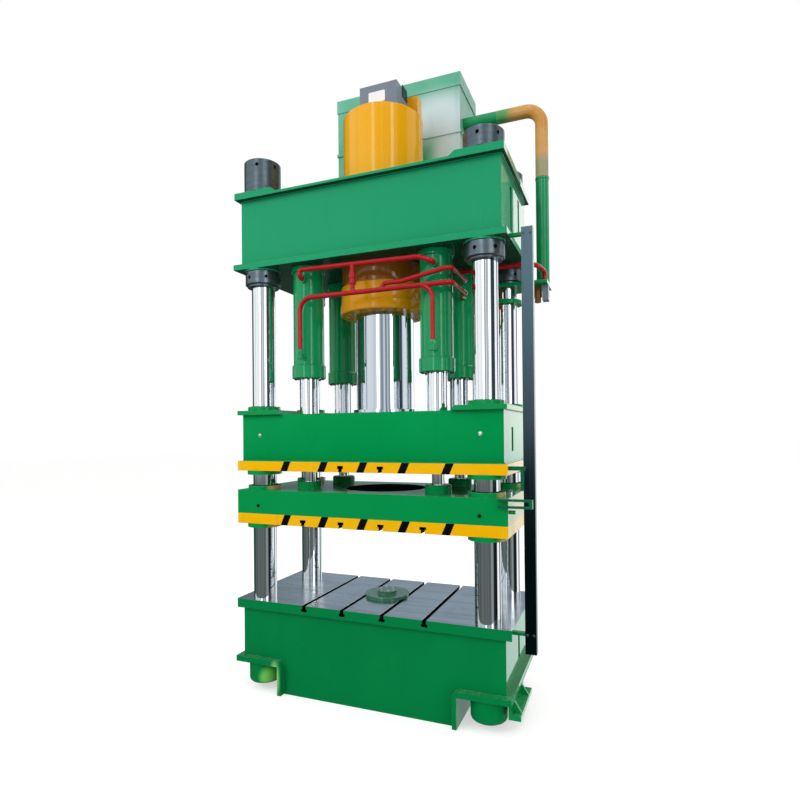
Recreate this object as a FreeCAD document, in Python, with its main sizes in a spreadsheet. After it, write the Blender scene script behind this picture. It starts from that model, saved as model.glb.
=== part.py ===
"""Four-column double-action hydraulic press, in millimetres.

The origin is on the floor at the middle of the bed, +Z is up, +X is the press's right side
seen from the front, and the front faces -Y.
"""
import FreeCAD, Part
import math
import os
import Sketcher

# ---------------------------------------------------------------------------------------------
# Driving sizes. Heights are measured from the floor, and "half" sizes from the middle planes.
# ---------------------------------------------------------------------------------------------
SIZES = {
    # columns and nuts
    "column_half_span_x": 848, "column_half_span_y": 339, "column_radius": 85,
    "bore_clearance": 0.3, "running_clearance": 0.05,
    "nut_radius": 130, "nut_height": 96, "nut_rim": 14, "nut_rim_step": 16,
    "foot_nut_radius": 119, "foot_nut_bottom": 52, "foot_nut_rounding": 24,
    "crown_nut_radius": 134, "right_nut_height": 132, "left_nut_height": 236,
    "hook_hole_radius": 13, "hook_hole_depth": 34, "hook_hole_drop": 45, "hook_hole_count": 6,
    "nut_chamfer": 4, "column_end_inset": 6,
    # turns of the nuts about their columns, in degrees
    "hook_turn": 14, "hook_turn_front_left": 47, "hook_turn_front_right": 26,
    # heights from the floor to the crown's underside, one above the other
    "bed_plate_top": 660, "die_space": 562, "lower_plate_height": 75, "lower_box_height": 171,
    "slide_gap": 142, "upper_plate_height": 70, "upper_box_height": 340, "crown_gap": 1075,
    # bed; "end" and "side" sizes are overhangs past the columns' axes or past the body they sit on
    "body_end": 130, "body_side": 86,
    "leg_gap": 181, "leg_plate": 30, "flange_proud": 45, "flange_corner": 35,
    "ledge_top": 243, "ledge_plate": 40, "ledge_end": 40,
    "side_slot_width": 60, "side_slot_depth": 90,
    "bed_slot_y": 15, "bed_slot_rise": 78, "bed_slot_height": 161,
    "bed_plate_end": 42, "bed_plate_side": 25, "bed_plate_thickness": 66, "bed_slot_count": 4,
    "slot_pitch": 300, "slot_width": 28, "slot_head_width": 46, "slot_head_height": 20, "slot_depth": 44,
    "cover_radius": 163, "cover_thickness": 22, "hub_radius": 73, "hub_height": 22,
    "cover_screw_circle": 52, "cover_screw_radius": 7, "cover_screw_head": 9, "cover_screw_count": 6,
    # side bracket
    "bracket_gap": 9, "bracket_wall": 20, "bracket_reach": 77, "bracket_bottom": 100,
    "bracket_shelf": 32, "bracket_setback": 5, "bracket_length": 425,
    "gusset_inset": 40, "gusset_pitch": 262, "gusset_plate": 16,
    # crown
    "crown_height": 570, "crown_plate": 40, "crown_plate_end": 40, "crown_plate_side": 48,
    "crown_top_plate": 18, "crown_top_end": 28, "pad_thickness": 31,
    "pad_reach": 158, "pad_bevel": 40, "nut_seat_radius": 134, "nut_seat_height": 12,
    "crown_slot_front_y": -112, "crown_slot_front_rise": 130, "crown_slot_front_height": 296,
    "crown_slot_rear_y": 166, "crown_slot_rear_rise": 200, "crown_slot_rear_height": 243,
    # main cylinder and ram
    "barrel_radius": 300, "barrel_bore": 250, "barrel_height": 1120, "barrel_cap": 90, "barrel_chamfer": 8,
    "collar_radius": 318, "collar_height": 139,
    "gland_radius": 331, "gland_neck_radius": 325, "gland_height": 204, "gland_skirt": 74,
    "gland_groove": 4, "ram_radius": 216, "piston_gap": 375, "piston_height": 190,
    "ram_foot_radius": 240, "ram_foot_height": 30,
    # top of the main cylinder
    "block_low_x": 150, "block_width": 120, "block_front_y": 20, "block_depth": 88, "block_height": 165,
    "box_low_x": -97, "box_width": 290, "box_front_y": -200, "box_depth": 215, "box_height": 177,
    # oil tank on its pedestal
    "tank_left": -550, "tank_right": 512, "tank_depth": 470, "tank_height": 471, "lid_height": 104,
    "lid_step": 6, "pedestal_height": 571, "pedestal_depth": 153, "bottom_lip": 8,
    "bottom_lip_height": 22, "stay_plate": 14, "stay_inset": 120, "stay_drop": 300,
    # large pipe; "out" sizes are measured from the rear right column's axis
    "pipe_radius": 48, "pipe_out_y": 101, "pipe_run_rise": 113, "pipe_out_x": 264, "pipe_bend": 120,
    "pipe_stub_length": 266, "pipe_bend_drop": 528, "weld_radius": 51, "weld_width": 16,
    # shelf on the rear right column, fitting and block under it
    "shelf_plate": 24, "shelf_out_x": 318, "shelf_out_front": 101, "shelf_out_rear": 161,
    "clamp_radius": 120, "clamp_drop": 147, "clamp_height": 30,
    "fitting_radius": 30, "fitting_height": 118, "fitting_waist": 7, "fitting_out_x": 237, "fitting_out_y": 6,
    "feed_out_x": 274, "feed_width": 42, "feed_out_front": 34, "feed_depth": 70, "feed_height": 112,
    # blank-holder cylinders
    "aux_half_span_x": 498, "aux_half_span_y": 270, "aux_barrel_radius": 112, "aux_bore": 88,
    "aux_barrel_rise": 165, "aux_barrel_drop": 715, "aux_flange_radius": 124, "aux_flange": 36,
    "aux_gland_radius": 123, "aux_gland_height": 98, "aux_gland_chamfer": 6,
    "rod_radius": 70, "stud_length": 232, "stud_radius": 42, "aux_piston_gap": 259, "aux_piston": 60,
    "flange_radius": 90, "flange_height": 60, "flange_rounding": 8, "rod_passage": 4,
    "port_radius": 24, "port_neck_radius": 14, "port_turn": 28, "port_out": 20,
    "port_drop": 103, "port_low_rise": 32, "port_height": 34,
    "rear_port_turn": 66, "rear_port_radius": 20, "rear_port_drop": 95, "rear_port_pitch": 120,
    # red oil pipes; a "drop" is measured from the crown's underside
    "oil_pipe_radius": 17, "branch_step": 1, "pipe_elbow": 26, "pipe_sweep": 96, "line_out": 170,
    "upper_line_drop": 49, "upper_line_fall": 16, "lower_line_drop": 253, "cross_line_rise": 39,
    "cross_line_start": 160, "cross_end_drop": 161, "line_far": 158, "line_back_y": -110, "line_turn": 60,
    "tee_x": -50, "union_radius": 26, "union_neck": 21, "union_drop": 195, "union_step": 20, "union_rings": 4,
    "rear_line_y": 118, "rear_line_drop": 35, "rear_line_seat": 16, "rear_line_fall": 20,
    "rear_line_out": 252, "rear_line_end_x": 294, "rear_line_end_y": 49,
    # switch rail
    "rail_gap": 73, "rail_width": 70, "rail_setback": 25, "rail_side": 50, "rail_wall": 8,
    "rail_past_bed": 148, "rail_past_crown": 48, "rail_bar": 20, "rail_bar_depth": 30, "rail_bar_drop": 21,
    # slides
    "slide_plate_end": 27, "slide_plate_side": 31, "slide_pad": 32,
    "upper_slot_count": 2, "upper_slot_y": -145, "upper_slot_rise": 71, "upper_slot_height": 159,
    "lower_slot_count": 4, "lower_opening_radius": 300,
    "bush_wall": 16, "bush_flange_radius": 119, "upper_bush_flange": 28, "lower_bush_flange": 30,
    "wiper_ring_radius": 125, "wiper_ring": 30,
    # switch arm, fork and stop pin in front of the rail
    "arm_gap": 15, "arm_depth": 25, "arm_bar": 25, "arm_drop": 14, "arm_past": 19,
    "flag_inset": 10, "flag_width": 21, "flag_drop": 124,
    "fork_height": 56, "fork_past": 5, "fork_wall": 14, "fork_end": 21, "fork_foot": 61, "fork_depth": 24,
    "pin_radius": 12, "pin_length": 42, "pin_inset": 26, "pin_drop": 85,
}


class Size:
    """A length of the press: its value now, and the formula on the sheet that gives it."""

    def __init__(self, value, formula):
        self.value = float(value)
        self.formula = formula

    def _with(self, other, sign, work, swap=False):
        other = other if isinstance(other, Size) else Size(other, repr(other))
        first, second = (other, self) if swap else (self, other)
        return Size(work(first.value, second.value), "(%s %s %s)" % (first.formula, sign, second.formula))

    def __add__(self, other):
        return self._with(other, "+", lambda a, b: a + b)

    __radd__ = __add__

    def __sub__(self, other):
        return self._with(other, "-", lambda a, b: a - b)

    def __rsub__(self, other):
        return self._with(other, "-", lambda a, b: a - b, swap=True)

    def __mul__(self, other):
        return self._with(other, "*", lambda a, b: a * b)

    __rmul__ = __mul__

    def __truediv__(self, other):
        return self._with(other, "/", lambda a, b: a / b)

    def __neg__(self):
        return Size(-self.value, "(0 - %s)" % self.formula)

    def sine(self):
        """The sine of a turn in degrees."""
        return Size(math.sin(math.radians(self.value)), "sin(%s)" % self.formula)

    def cosine(self):
        """The cosine of a turn in degrees."""
        return Size(math.cos(math.radians(self.value)), "cos(%s)" % self.formula)


ZERO = Size(0, "0")


class Sheet:
    """The spreadsheet of driving sizes; sheet.NAME is that size."""

    def __init__(self, document, sizes):
        self.cells = document.addObject("Spreadsheet::Sheet", "sizes")
        self.values = dict(sizes)
        for row, (name, value) in enumerate(sizes.items(), start=1):
            self.cells.set("A%d" % row, name)
            self.cells.set("B%d" % row, str(value))
            self.cells.setAlias("B%d" % row, name)

    def __getattr__(self, name):
        if name not in self.values:
            raise AttributeError(name)
        return Size(self.values[name], "sizes.%s" % name)


document = FreeCAD.newDocument("press")
sheet = Sheet(document, SIZES)
document.recompute()
parts = []


# ---------------------------------------------------------------------------------------------
# Small tools for sketches and features
# ---------------------------------------------------------------------------------------------
def bind(item, prop, size):
    """Ties a property to a formula on the sheet."""
    size = size if isinstance(size, Size) else Size(size, repr(size))
    item.setExpression(prop, size.formula)


def value_of(size):
    """The plain number of a size."""
    return size.value if isinstance(size, Size) else float(size)


def new_body(name):
    """A body that becomes the sub-part NAME."""
    body = document.addObject("PartDesign::Body", name)
    body.Label = name
    parts.append(body)
    return body


def origin_of(body, role):
    """One of the body's own origin planes or axes."""
    return next(item for item in body.Origin.OriginFeatures if item.Role == role)


def new_sketch(body, plane, offset=ZERO):
    """An empty sketch on an origin plane, shifted along the plane's normal."""
    sketch = body.newObject("Sketcher::SketchObject", body.Name + "_sketch")
    sketch.AttachmentSupport = [(origin_of(body, plane), "")]
    sketch.MapMode = "FlatFace"
    bind(sketch, ".AttachmentOffset.Base.z", offset)
    return sketch


def dimension(sketch, kind, edge, point, size):
    """A distance from the sketch's origin to a point of an edge, tied to the sheet."""
    size = size if isinstance(size, Size) else Size(size, repr(size))
    index = sketch.addConstraint(Sketcher.Constraint(kind, -1, 1, edge, point, size.value))
    sketch.setExpression("Constraints[%d]" % index, size.formula)


def add_outline(sketch, corners):
    """A closed loop of straight sides, every corner dimensioned."""
    first = sketch.GeometryCount
    values = [tuple(value_of(c) for c in corner) for corner in corners]
    count = len(corners)
    for i, (x, y) in enumerate(values):
        next_x, next_y = values[(i + 1) % count]
        line = Part.LineSegment(FreeCAD.Vector(x, y, 0), FreeCAD.Vector(next_x, next_y, 0))
        sketch.addGeometry(line, False)
    for i in range(count):
        sketch.addConstraint(Sketcher.Constraint("Coincident", first + i, 2, first + (i + 1) % count, 1))
    for i, (x, y) in enumerate(corners):
        dimension(sketch, "DistanceX", first + i, 1, x)
        dimension(sketch, "DistanceY", first + i, 1, y)


def add_circle(sketch, x, y, radius):
    """A circle with its centre and radius dimensioned."""
    index = sketch.GeometryCount
    centre = [value_of(c) for c in (x, y)]
    sketch.addGeometry(Part.Circle(FreeCAD.Vector(*centre, 0), FreeCAD.Vector(0, 0, 1), radius.value), False)
    k = sketch.addConstraint(Sketcher.Constraint("Radius", index, radius.value))
    sketch.setExpression("Constraints[%d]" % k, radius.formula)
    dimension(sketch, "DistanceX", index, 3, x)
    dimension(sketch, "DistanceY", index, 3, y)


def box_corners(x_low, x_high, y_low, y_high):
    """The corners of a rectangle."""
    return [(x_low, y_low), (x_high, y_low), (x_high, y_high), (x_low, y_high)]


def slab(body, plane, outlines, length, offset=ZERO, middle=False, circles=()):
    """A pad of closed outlines and circles; with middle it grows to both sides of its plane."""
    sketch = new_sketch(body, plane, offset)
    for corners in outlines:
        add_outline(sketch, corners)
    for circle in circles:
        add_circle(sketch, *circle)
    pad = body.newObject("PartDesign::Pad", body.Name + "_pad")
    pad.Profile = (sketch, [""])
    if middle:
        pad.SideType = "Symmetric"
    bind(pad, "Length", length)
    body.Tip = pad
    return pad


def cut(body, plane, outlines, length, offset=ZERO, middle=False, circles=(), reverse=False):
    """A pocket of closed outlines and circles."""
    sketch = new_sketch(body, plane, offset)
    for corners in outlines:
        add_outline(sketch, corners)
    for circle in circles:
        add_circle(sketch, *circle)
    document.recompute()
    before = body.Shape.Volume
    pocket = body.newObject("PartDesign::Pocket", body.Name + "_pocket")
    pocket.Profile = (sketch, [""])
    if middle:
        pocket.SideType = "Symmetric"
    pocket.Reversed = reverse
    bind(pocket, "Length", length)
    body.Tip = pocket
    document.recompute()
    if not body.Shape.Volume < before - 1.0:
        raise ValueError("a pocket of %s cuts nothing" % body.Label)
    return pocket


def turned(body, profile):
    """A solid of revolution about Z, from a profile of radii and heights."""
    sketch = new_sketch(body, "XZ_Plane")
    add_outline(sketch, profile)
    revolution = body.newObject("PartDesign::Revolution", body.Name + "_turn")
    revolution.Profile = (sketch, [""])
    revolution.ReferenceAxis = (sketch, ["V_Axis"])
    revolution.Angle = 360
    body.Tip = revolution
    return revolution


def row_of(body, axis, length, count, feature):
    """Copies of one feature along an origin axis."""
    pattern = body.newObject("PartDesign::LinearPattern", body.Name + "_row")
    pattern.Originals = [feature]
    pattern.Direction = (origin_of(body, axis), [""])
    bind(pattern, "Length", length)
    bind(pattern, "Occurrences", count)
    body.Tip = pattern
    return pattern


def ring_of(body, feature, count):
    """Copies of one feature turned about Z."""
    pattern = body.newObject("PartDesign::PolarPattern", body.Name + "_ring")
    pattern.Originals = [feature]
    pattern.Axis = (origin_of(body, "Z_Axis"), [""])
    pattern.Angle = 360
    bind(pattern, "Occurrences", count)
    body.Tip = pattern
    return pattern


def place(body, x=ZERO, y=ZERO, z=ZERO):
    """Puts a body at its place, tied to the sheet."""
    for axis, size in (("x", x), ("y", y), ("z", z)):
        bind(body, ".Placement.Base." + axis, size)


def corners_of(half_x, half_y):
    """The four corner places with their names, from the front left one."""
    return {"front_left": (-half_x, -half_y), "front_right": (half_x, -half_y),
            "rear_left": (-half_x, half_y), "rear_right": (half_x, half_y)}


def circles_at(half_x, half_y, radius):
    """One circle at each of four corners."""
    return [(x, y, radius) for x, y in corners_of(half_x, half_y).values()]


def four_of(body, half_x, half_y, features=None):
    """Spreads what a body holds to four corners, as a group of separate solids."""
    document.recompute()
    spread = body.newObject("PartDesign::MultiTransform", body.Name + "_spread")
    if features is None:
        spread.TransformMode = "Whole shape"
    else:
        spread.Originals = features
    rows = []
    for axis, length in (("X_Axis", 2 * half_x), ("Y_Axis", 2 * half_y)):
        row = body.newObject("PartDesign::LinearPattern", body.Name + "_row")
        row.Direction = (origin_of(body, axis), [""])
        bind(row, "Length", length)
        row.Occurrences = 2
        rows.append(row)
    spread.Transformations = rows
    body.Tip = spread
    place(body, -half_x, -half_y)


def rounded_corner(x, z, radius, way):
    """Points of a rounded lower or upper corner, from its upright side round to its flat side."""
    near = 1 - math.cos(math.radians(30))
    far = 1 - math.cos(math.radians(60))
    side, up = way
    steps = ((0, 1), (near, far), (far, near), (1, 0))
    return [(x + side * across * radius, z + up * along * radius) for across, along in steps]


def hook_holes(body, radius, height, turn):
    """Radial holes for a hook spanner, round a nut at a height, the first one at a turn about Z."""
    floor = radius - sheet.hook_hole_depth
    hole = cut(body, "YZ_Plane", [], sheet.hook_hole_depth + sheet.nut_rim, offset=floor,
               circles=[(ZERO, height, sheet.hook_hole_radius)], reverse=True)
    sketch = hole.Profile[0]
    bind(sketch, ".AttachmentOffset.Rotation.Pitch", turn)
    bind(sketch, ".AttachmentOffset.Base.x", floor * turn.sine())
    bind(sketch, ".AttachmentOffset.Base.z", floor * turn.cosine())
    ring_of(body, hole, sheet.hook_hole_count)


def pipe_run(points, bends):
    """A wire of straight runs joined by tangent arcs, one bend radius for each corner."""
    edges = []
    start = points[0]
    for before, corner, after, bend in zip(points, points[1:], points[2:], bends):
        back = (before - corner).normalize()
        ahead = (after - corner).normalize()
        half_turn = (math.pi - back.getAngle(ahead)) / 2
        cut_back = bend * math.tan(half_turn)
        arc_start = corner + back * cut_back
        arc_end = corner + ahead * cut_back
        middle_way = (back + ahead).normalize()
        arc_middle = corner + middle_way * (bend / math.cos(half_turn) - bend)
        edges.append(Part.LineSegment(start, arc_start).toShape())
        edges.append(Part.Arc(arc_start, arc_middle, arc_end).toShape())
        start = arc_end
    edges.append(Part.LineSegment(start, points[-1]).toShape())
    return Part.Wire(edges)


def pipe_solid(points, radius, bend, first_bend=None):
    """A solid pipe along corner points given as sizes; the first corner may have a wider bend."""
    route = [FreeCAD.Vector(*[value_of(c) for c in point]) for point in points]
    bends = [bend.value] * (len(route) - 2)
    if first_bend is not None:
        bends[0] = first_bend.value
    path = pipe_run(route, bends)
    ring = Part.Circle(route[0], route[1] - route[0], radius.value).toShape()
    return path.makePipeShell([Part.Wire([ring])], True, False)


def add_pipe(name, solids):
    """A welded pipe that becomes the sub-part NAME."""
    feature = document.addObject("Part::Feature", name)
    feature.Label = name
    feature.Shape = solids[0].multiFuse(solids[1:]).removeSplitter() if len(solids) > 1 else solids[0]
    feature.Placement = FreeCAD.Placement()
    parts.append(feature)
    return feature


def side_slot(body, y_middle, low, height):
    """A tall opening cut into the right side plate between the inner webs."""
    half = sheet.side_slot_width / 2
    corners = box_corners(y_middle - half, y_middle + half, low, low + height)
    cut(body, "YZ_Plane", [corners], sheet.side_slot_depth, offset=BODY_X)


def t_slot_corners(middle, mouth, inward):
    """A T-slot's outline: neck at the mouth, wider head inside; inward is +1 or -1 along Z."""
    neck = sheet.slot_width / 2
    head = sheet.slot_head_width / 2
    throat = mouth + inward * (sheet.slot_depth - sheet.slot_head_height)
    deep = mouth + inward * sheet.slot_depth
    return [(middle - neck, mouth), (middle + neck, mouth), (middle + neck, throat), (middle + head, throat),
            (middle + head, deep), (middle - head, deep), (middle - head, throat), (middle - neck, throat)]


def t_slots(body, mouth, inward, length, count):
    """A row of T-slots from front to rear, spread about the middle at the slot pitch."""
    span = (count - 1) * sheet.slot_pitch
    slot = cut(body, "XZ_Plane", [t_slot_corners(-span / 2, mouth, inward)], length, middle=True)
    row_of(body, "X_Axis", span, count, slot)


# ---------------------------------------------------------------------------------------------
# Fixed frame
# ---------------------------------------------------------------------------------------------
COLUMN_X = sheet.column_half_span_x
COLUMN_Y = sheet.column_half_span_y
COLUMNS = corners_of(COLUMN_X, COLUMN_Y)
COLUMN_BORE = sheet.column_radius + sheet.bore_clearance
BODY_X = COLUMN_X + sheet.body_end
BODY_Y = COLUMN_Y + sheet.body_side
LEG_X = COLUMN_X - sheet.leg_gap
LEDGE_X = BODY_X + sheet.ledge_end
LEDGE_LOW = sheet.ledge_top - sheet.ledge_plate
BED_PLATE_X = BODY_X + sheet.bed_plate_end
BED_PLATE_Y = BODY_Y + sheet.bed_plate_side
CROWN_PLATE_X = BODY_X + sheet.crown_plate_end
CROWN_PLATE_Y = BODY_Y + sheet.crown_plate_side
CROWN_TOP_X = BODY_X + sheet.crown_top_end
PAD_INNER = COLUMN_X - sheet.pad_reach
SLIDE_X = BODY_X + sheet.slide_plate_end
SLIDE_Y = BODY_Y + sheet.slide_plate_side
BED_BOX_TOP = sheet.bed_plate_top - sheet.bed_plate_thickness
LOWER_PLATE_LOW = sheet.bed_plate_top + sheet.die_space
LOWER_PLATE_TOP = LOWER_PLATE_LOW + sheet.lower_plate_height
LOWER_TOP = LOWER_PLATE_TOP + sheet.lower_box_height
UPPER_PLATE_LOW = LOWER_TOP + sheet.slide_gap
UPPER_PLATE_TOP = UPPER_PLATE_LOW + sheet.upper_plate_height
UPPER_TOP = UPPER_PLATE_TOP + sheet.upper_box_height
CROWN_LOW = UPPER_TOP + sheet.crown_gap
CROWN_BODY_LOW = CROWN_LOW + sheet.crown_plate
CROWN_PAD_TOP = CROWN_LOW + sheet.crown_height
CROWN_TOP = CROWN_PAD_TOP - sheet.pad_thickness
COLLAR_LOW = CROWN_LOW - sheet.collar_height
BARREL_TOP = CROWN_LOW + sheet.barrel_height
BARREL_CEILING = BARREL_TOP - sheet.barrel_cap
TANK_LOW = CROWN_TOP + sheet.pedestal_height
AUX_TOP = CROWN_LOW + sheet.aux_barrel_rise
AUX_CEILING = AUX_TOP - sheet.aux_flange
AUX_GLAND_TOP = CROWN_LOW - sheet.aux_barrel_drop
PORT_HIGH = CROWN_LOW - sheet.port_drop
PORT_LOW = AUX_GLAND_TOP + sheet.port_low_rise
REAR_PORT_HIGH = CROWN_LOW - sheet.rear_port_drop
REAR_PORT_LOW = REAR_PORT_HIGH - sheet.rear_port_pitch
AUX_X = sheet.aux_half_span_x
AUX_Y = sheet.aux_half_span_y
AUX = corners_of(AUX_X, AUX_Y)
PORT_ROOT = sheet.aux_barrel_radius - sheet.port_out
NUT_SEAT = CROWN_LOW - sheet.nut_seat_height
SHELF_TOP = NUT_SEAT - sheet.nut_height - sheet.nut_rim
REAR_PORT_ROOT = sheet.aux_barrel_radius - sheet.port_height
TANK_FRONT = CROWN_PLATE_Y - sheet.pedestal_depth
RAIL_LEFT = CROWN_PLATE_X + sheet.rail_gap
RAIL_FRONT = sheet.rail_setback - BODY_Y


def make_bed():
    """Welded box bed: stepped body, edge flange round the cut-outs, column bores and a side slot."""
    body = new_body("bed_weldment")
    slab(body, "XZ_Plane", [[(-BODY_X, BED_BOX_TOP), (-BODY_X, LEDGE_LOW), (-LEG_X, LEDGE_LOW),
                             (-LEG_X, ZERO), (LEG_X, ZERO), (LEG_X, LEDGE_LOW), (BODY_X, LEDGE_LOW),
                             (BODY_X, BED_BOX_TOP)]],
         2 * BODY_Y, middle=True)
    for side in (-1, 1):
        inner = side * (LEG_X - sheet.leg_plate)
        corner = rounded_corner(inner, sheet.ledge_top, sheet.flange_corner, (side, -1))
        slab(body, "XZ_Plane", [[(inner, ZERO), (side * LEG_X, ZERO), (side * LEG_X, LEDGE_LOW),
                                 (side * LEDGE_X, LEDGE_LOW), (side * LEDGE_X, sheet.ledge_top),
                                 *reversed(corner)]],
             2 * (BODY_Y + sheet.flange_proud), middle=True)
    cut(body, "XY_Plane", [], BED_BOX_TOP - LEDGE_LOW, offset=BED_BOX_TOP,
        circles=circles_at(COLUMN_X, COLUMN_Y, COLUMN_BORE))
    side_slot(body, sheet.bed_slot_y, sheet.ledge_top + sheet.bed_slot_rise, sheet.bed_slot_height)


def make_bed_plate():
    """Machined bed plate with T-slots from front to rear."""
    body = new_body("bed_plate")
    slab(body, "XY_Plane", [box_corners(-BED_PLATE_X, BED_PLATE_X, -BED_PLATE_Y, BED_PLATE_Y)],
         sheet.bed_plate_thickness, offset=BED_BOX_TOP)
    cut(body, "XY_Plane", [], sheet.bed_plate_thickness, offset=sheet.bed_plate_top,
        circles=circles_at(COLUMN_X, COLUMN_Y, COLUMN_BORE))
    t_slots(body, sheet.bed_plate_top, -1, 2 * BED_PLATE_Y, sheet.bed_slot_count)


def make_centre_cover():
    """Round cover over the bed's centre bore, with a raised hub, and its screws."""
    low = sheet.bed_plate_top
    step = low + sheet.cover_thickness
    top = step + sheet.hub_height
    body = new_body("centre_cover")
    turned(body, [(ZERO, low), (sheet.cover_radius, low), (sheet.cover_radius, step),
                  (sheet.hub_radius, step), (sheet.hub_radius, top), (ZERO, top)])
    screws = new_body("cover_screws")
    first = slab(screws, "XY_Plane", [], sheet.cover_screw_head, offset=top,
                 circles=[(sheet.cover_screw_circle, ZERO, sheet.cover_screw_radius)])
    ring_of(screws, first, sheet.cover_screw_count)


def make_side_bracket():
    """Shelf bracket welded under the bed's right ledge: wall, shelf and two sloping gussets."""
    body = new_body("side_bracket")
    inner = BODY_X + sheet.bracket_gap
    outer = inner + sheet.bracket_reach
    wall = inner + sheet.bracket_wall
    floor = sheet.bracket_bottom
    shelf = floor + sheet.bracket_shelf
    front = sheet.bracket_setback - BODY_Y
    slab(body, "XZ_Plane", [[(inner, floor), (outer, floor), (outer, shelf), (wall, shelf), (wall, LEDGE_LOW),
                             (inner, LEDGE_LOW)]],
         sheet.bracket_length, offset=-(front + sheet.bracket_length))
    for inset in (sheet.gusset_inset, sheet.gusset_inset + sheet.gusset_pitch):
        slab(body, "XZ_Plane", [[(inner, shelf), (outer, shelf), (LEDGE_X, LEDGE_LOW), (inner, LEDGE_LOW)]],
             sheet.gusset_plate, offset=-(front + inset + sheet.gusset_plate))


def make_columns():
    """Four chromed columns, waisted inside bed and crown, from the foot nuts to the crown nuts."""
    radius = sheet.column_radius
    low = sheet.foot_nut_bottom + sheet.foot_nut_rounding
    for name, (x, y) in COLUMNS.items():
        nut = sheet.left_nut_height if name.endswith("left") else sheet.right_nut_height
        top = CROWN_PAD_TOP + nut - sheet.column_end_inset
        body = new_body("column_" + name)
        turned(body, [(ZERO, low), (radius - sheet.nut_chamfer, low), (radius, low + sheet.nut_chamfer),
                      (radius, top - sheet.nut_chamfer), (radius - sheet.nut_chamfer, top), (ZERO, top)])
        place(body, x, y)


def nut_profile(low, high, radius):
    """A chamfered ring on the column's thread."""
    edge = sheet.nut_chamfer
    return [(COLUMN_BORE, low), (radius - edge, low), (radius, low + edge), (radius, high - edge),
            (radius - edge, high), (COLUMN_BORE, high)]


def make_nuts():
    """Foot nuts, shoulder nuts under the crown and nuts on the crown."""
    foot = new_body("foot_nuts")
    low = sheet.foot_nut_bottom
    soft = sheet.foot_nut_rounding
    corner = rounded_corner(sheet.foot_nut_radius, low, soft, (-1, 1))
    turned(foot, [(ZERO, low), *reversed(corner), (sheet.foot_nut_radius, LEDGE_LOW),
                  (COLUMN_BORE, LEDGE_LOW), (COLUMN_BORE, low + soft), (ZERO, low + soft)])
    four_of(foot, COLUMN_X, COLUMN_Y)

    low = NUT_SEAT - sheet.nut_height
    shoulder = new_body("shoulder_nuts")
    profile = nut_profile(low, NUT_SEAT, sheet.nut_radius)
    neck = sheet.nut_radius - sheet.nut_rim_step
    profile[0:1] = [(COLUMN_BORE, low - sheet.nut_rim), (neck, low - sheet.nut_rim), (neck, low)]
    turned(shoulder, profile)
    hook_holes(shoulder, sheet.nut_radius, NUT_SEAT - sheet.nut_height / 2, sheet.hook_turn)
    four_of(shoulder, COLUMN_X, COLUMN_Y)

    turns = {"front_left": sheet.hook_turn_front_left, "front_right": sheet.hook_turn_front_right}
    for name, (x, y) in COLUMNS.items():
        height = sheet.left_nut_height if name.endswith("left") else sheet.right_nut_height
        top = CROWN_PAD_TOP + height
        nut = new_body("crown_nut_" + name)
        turned(nut, nut_profile(CROWN_PAD_TOP, top, sheet.crown_nut_radius))
        hook_holes(nut, sheet.crown_nut_radius, top - sheet.hook_hole_drop, turns.get(name, sheet.hook_turn))
        place(nut, x, y)


def make_crown():
    """Welded crown: box, bottom and top plates, full-depth pads, bores and side slots."""
    body = new_body("crown_weldment")
    top = CROWN_TOP_X
    deep = CROWN_PLATE_Y
    slab(body, "XZ_Plane", [box_corners(-BODY_X, BODY_X, CROWN_BODY_LOW, CROWN_TOP - sheet.crown_top_plate)],
         2 * BODY_Y, middle=True)
    slab(body, "XY_Plane", [box_corners(-CROWN_PLATE_X, CROWN_PLATE_X, -deep, deep)],
         sheet.crown_plate, offset=CROWN_LOW)
    slab(body, "XY_Plane", [box_corners(-top, top, -deep, deep)], sheet.crown_top_plate,
         offset=CROWN_TOP - sheet.crown_top_plate)
    pads = [[(side * top, CROWN_TOP), (side * top, CROWN_PAD_TOP),
             (side * PAD_INNER, CROWN_PAD_TOP), (side * (PAD_INNER - sheet.pad_bevel), CROWN_TOP)]
            for side in (-1, 1)]
    slab(body, "XZ_Plane", pads, 2 * deep, middle=True)
    slab(body, "XY_Plane", [], sheet.nut_seat_height + sheet.crown_plate / 2, offset=NUT_SEAT,
         circles=circles_at(COLUMN_X, COLUMN_Y, sheet.nut_seat_radius))
    cut(body, "XY_Plane", [], CROWN_PAD_TOP - NUT_SEAT, offset=CROWN_PAD_TOP,
        circles=circles_at(COLUMN_X, COLUMN_Y, COLUMN_BORE))
    cut(body, "XY_Plane", [], CROWN_TOP - CROWN_LOW, offset=CROWN_TOP,
        circles=[(ZERO, ZERO, sheet.barrel_radius + sheet.bore_clearance)])
    cut(body, "XY_Plane", [], sheet.aux_barrel_rise, offset=AUX_TOP,
        circles=circles_at(AUX_X, AUX_Y, sheet.aux_barrel_radius + sheet.bore_clearance))
    side_slot(body, sheet.crown_slot_front_y, CROWN_LOW + sheet.crown_slot_front_rise,
              sheet.crown_slot_front_height)
    side_slot(body, sheet.crown_slot_rear_y, CROWN_LOW + sheet.crown_slot_rear_rise,
              sheet.crown_slot_rear_height)


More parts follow.
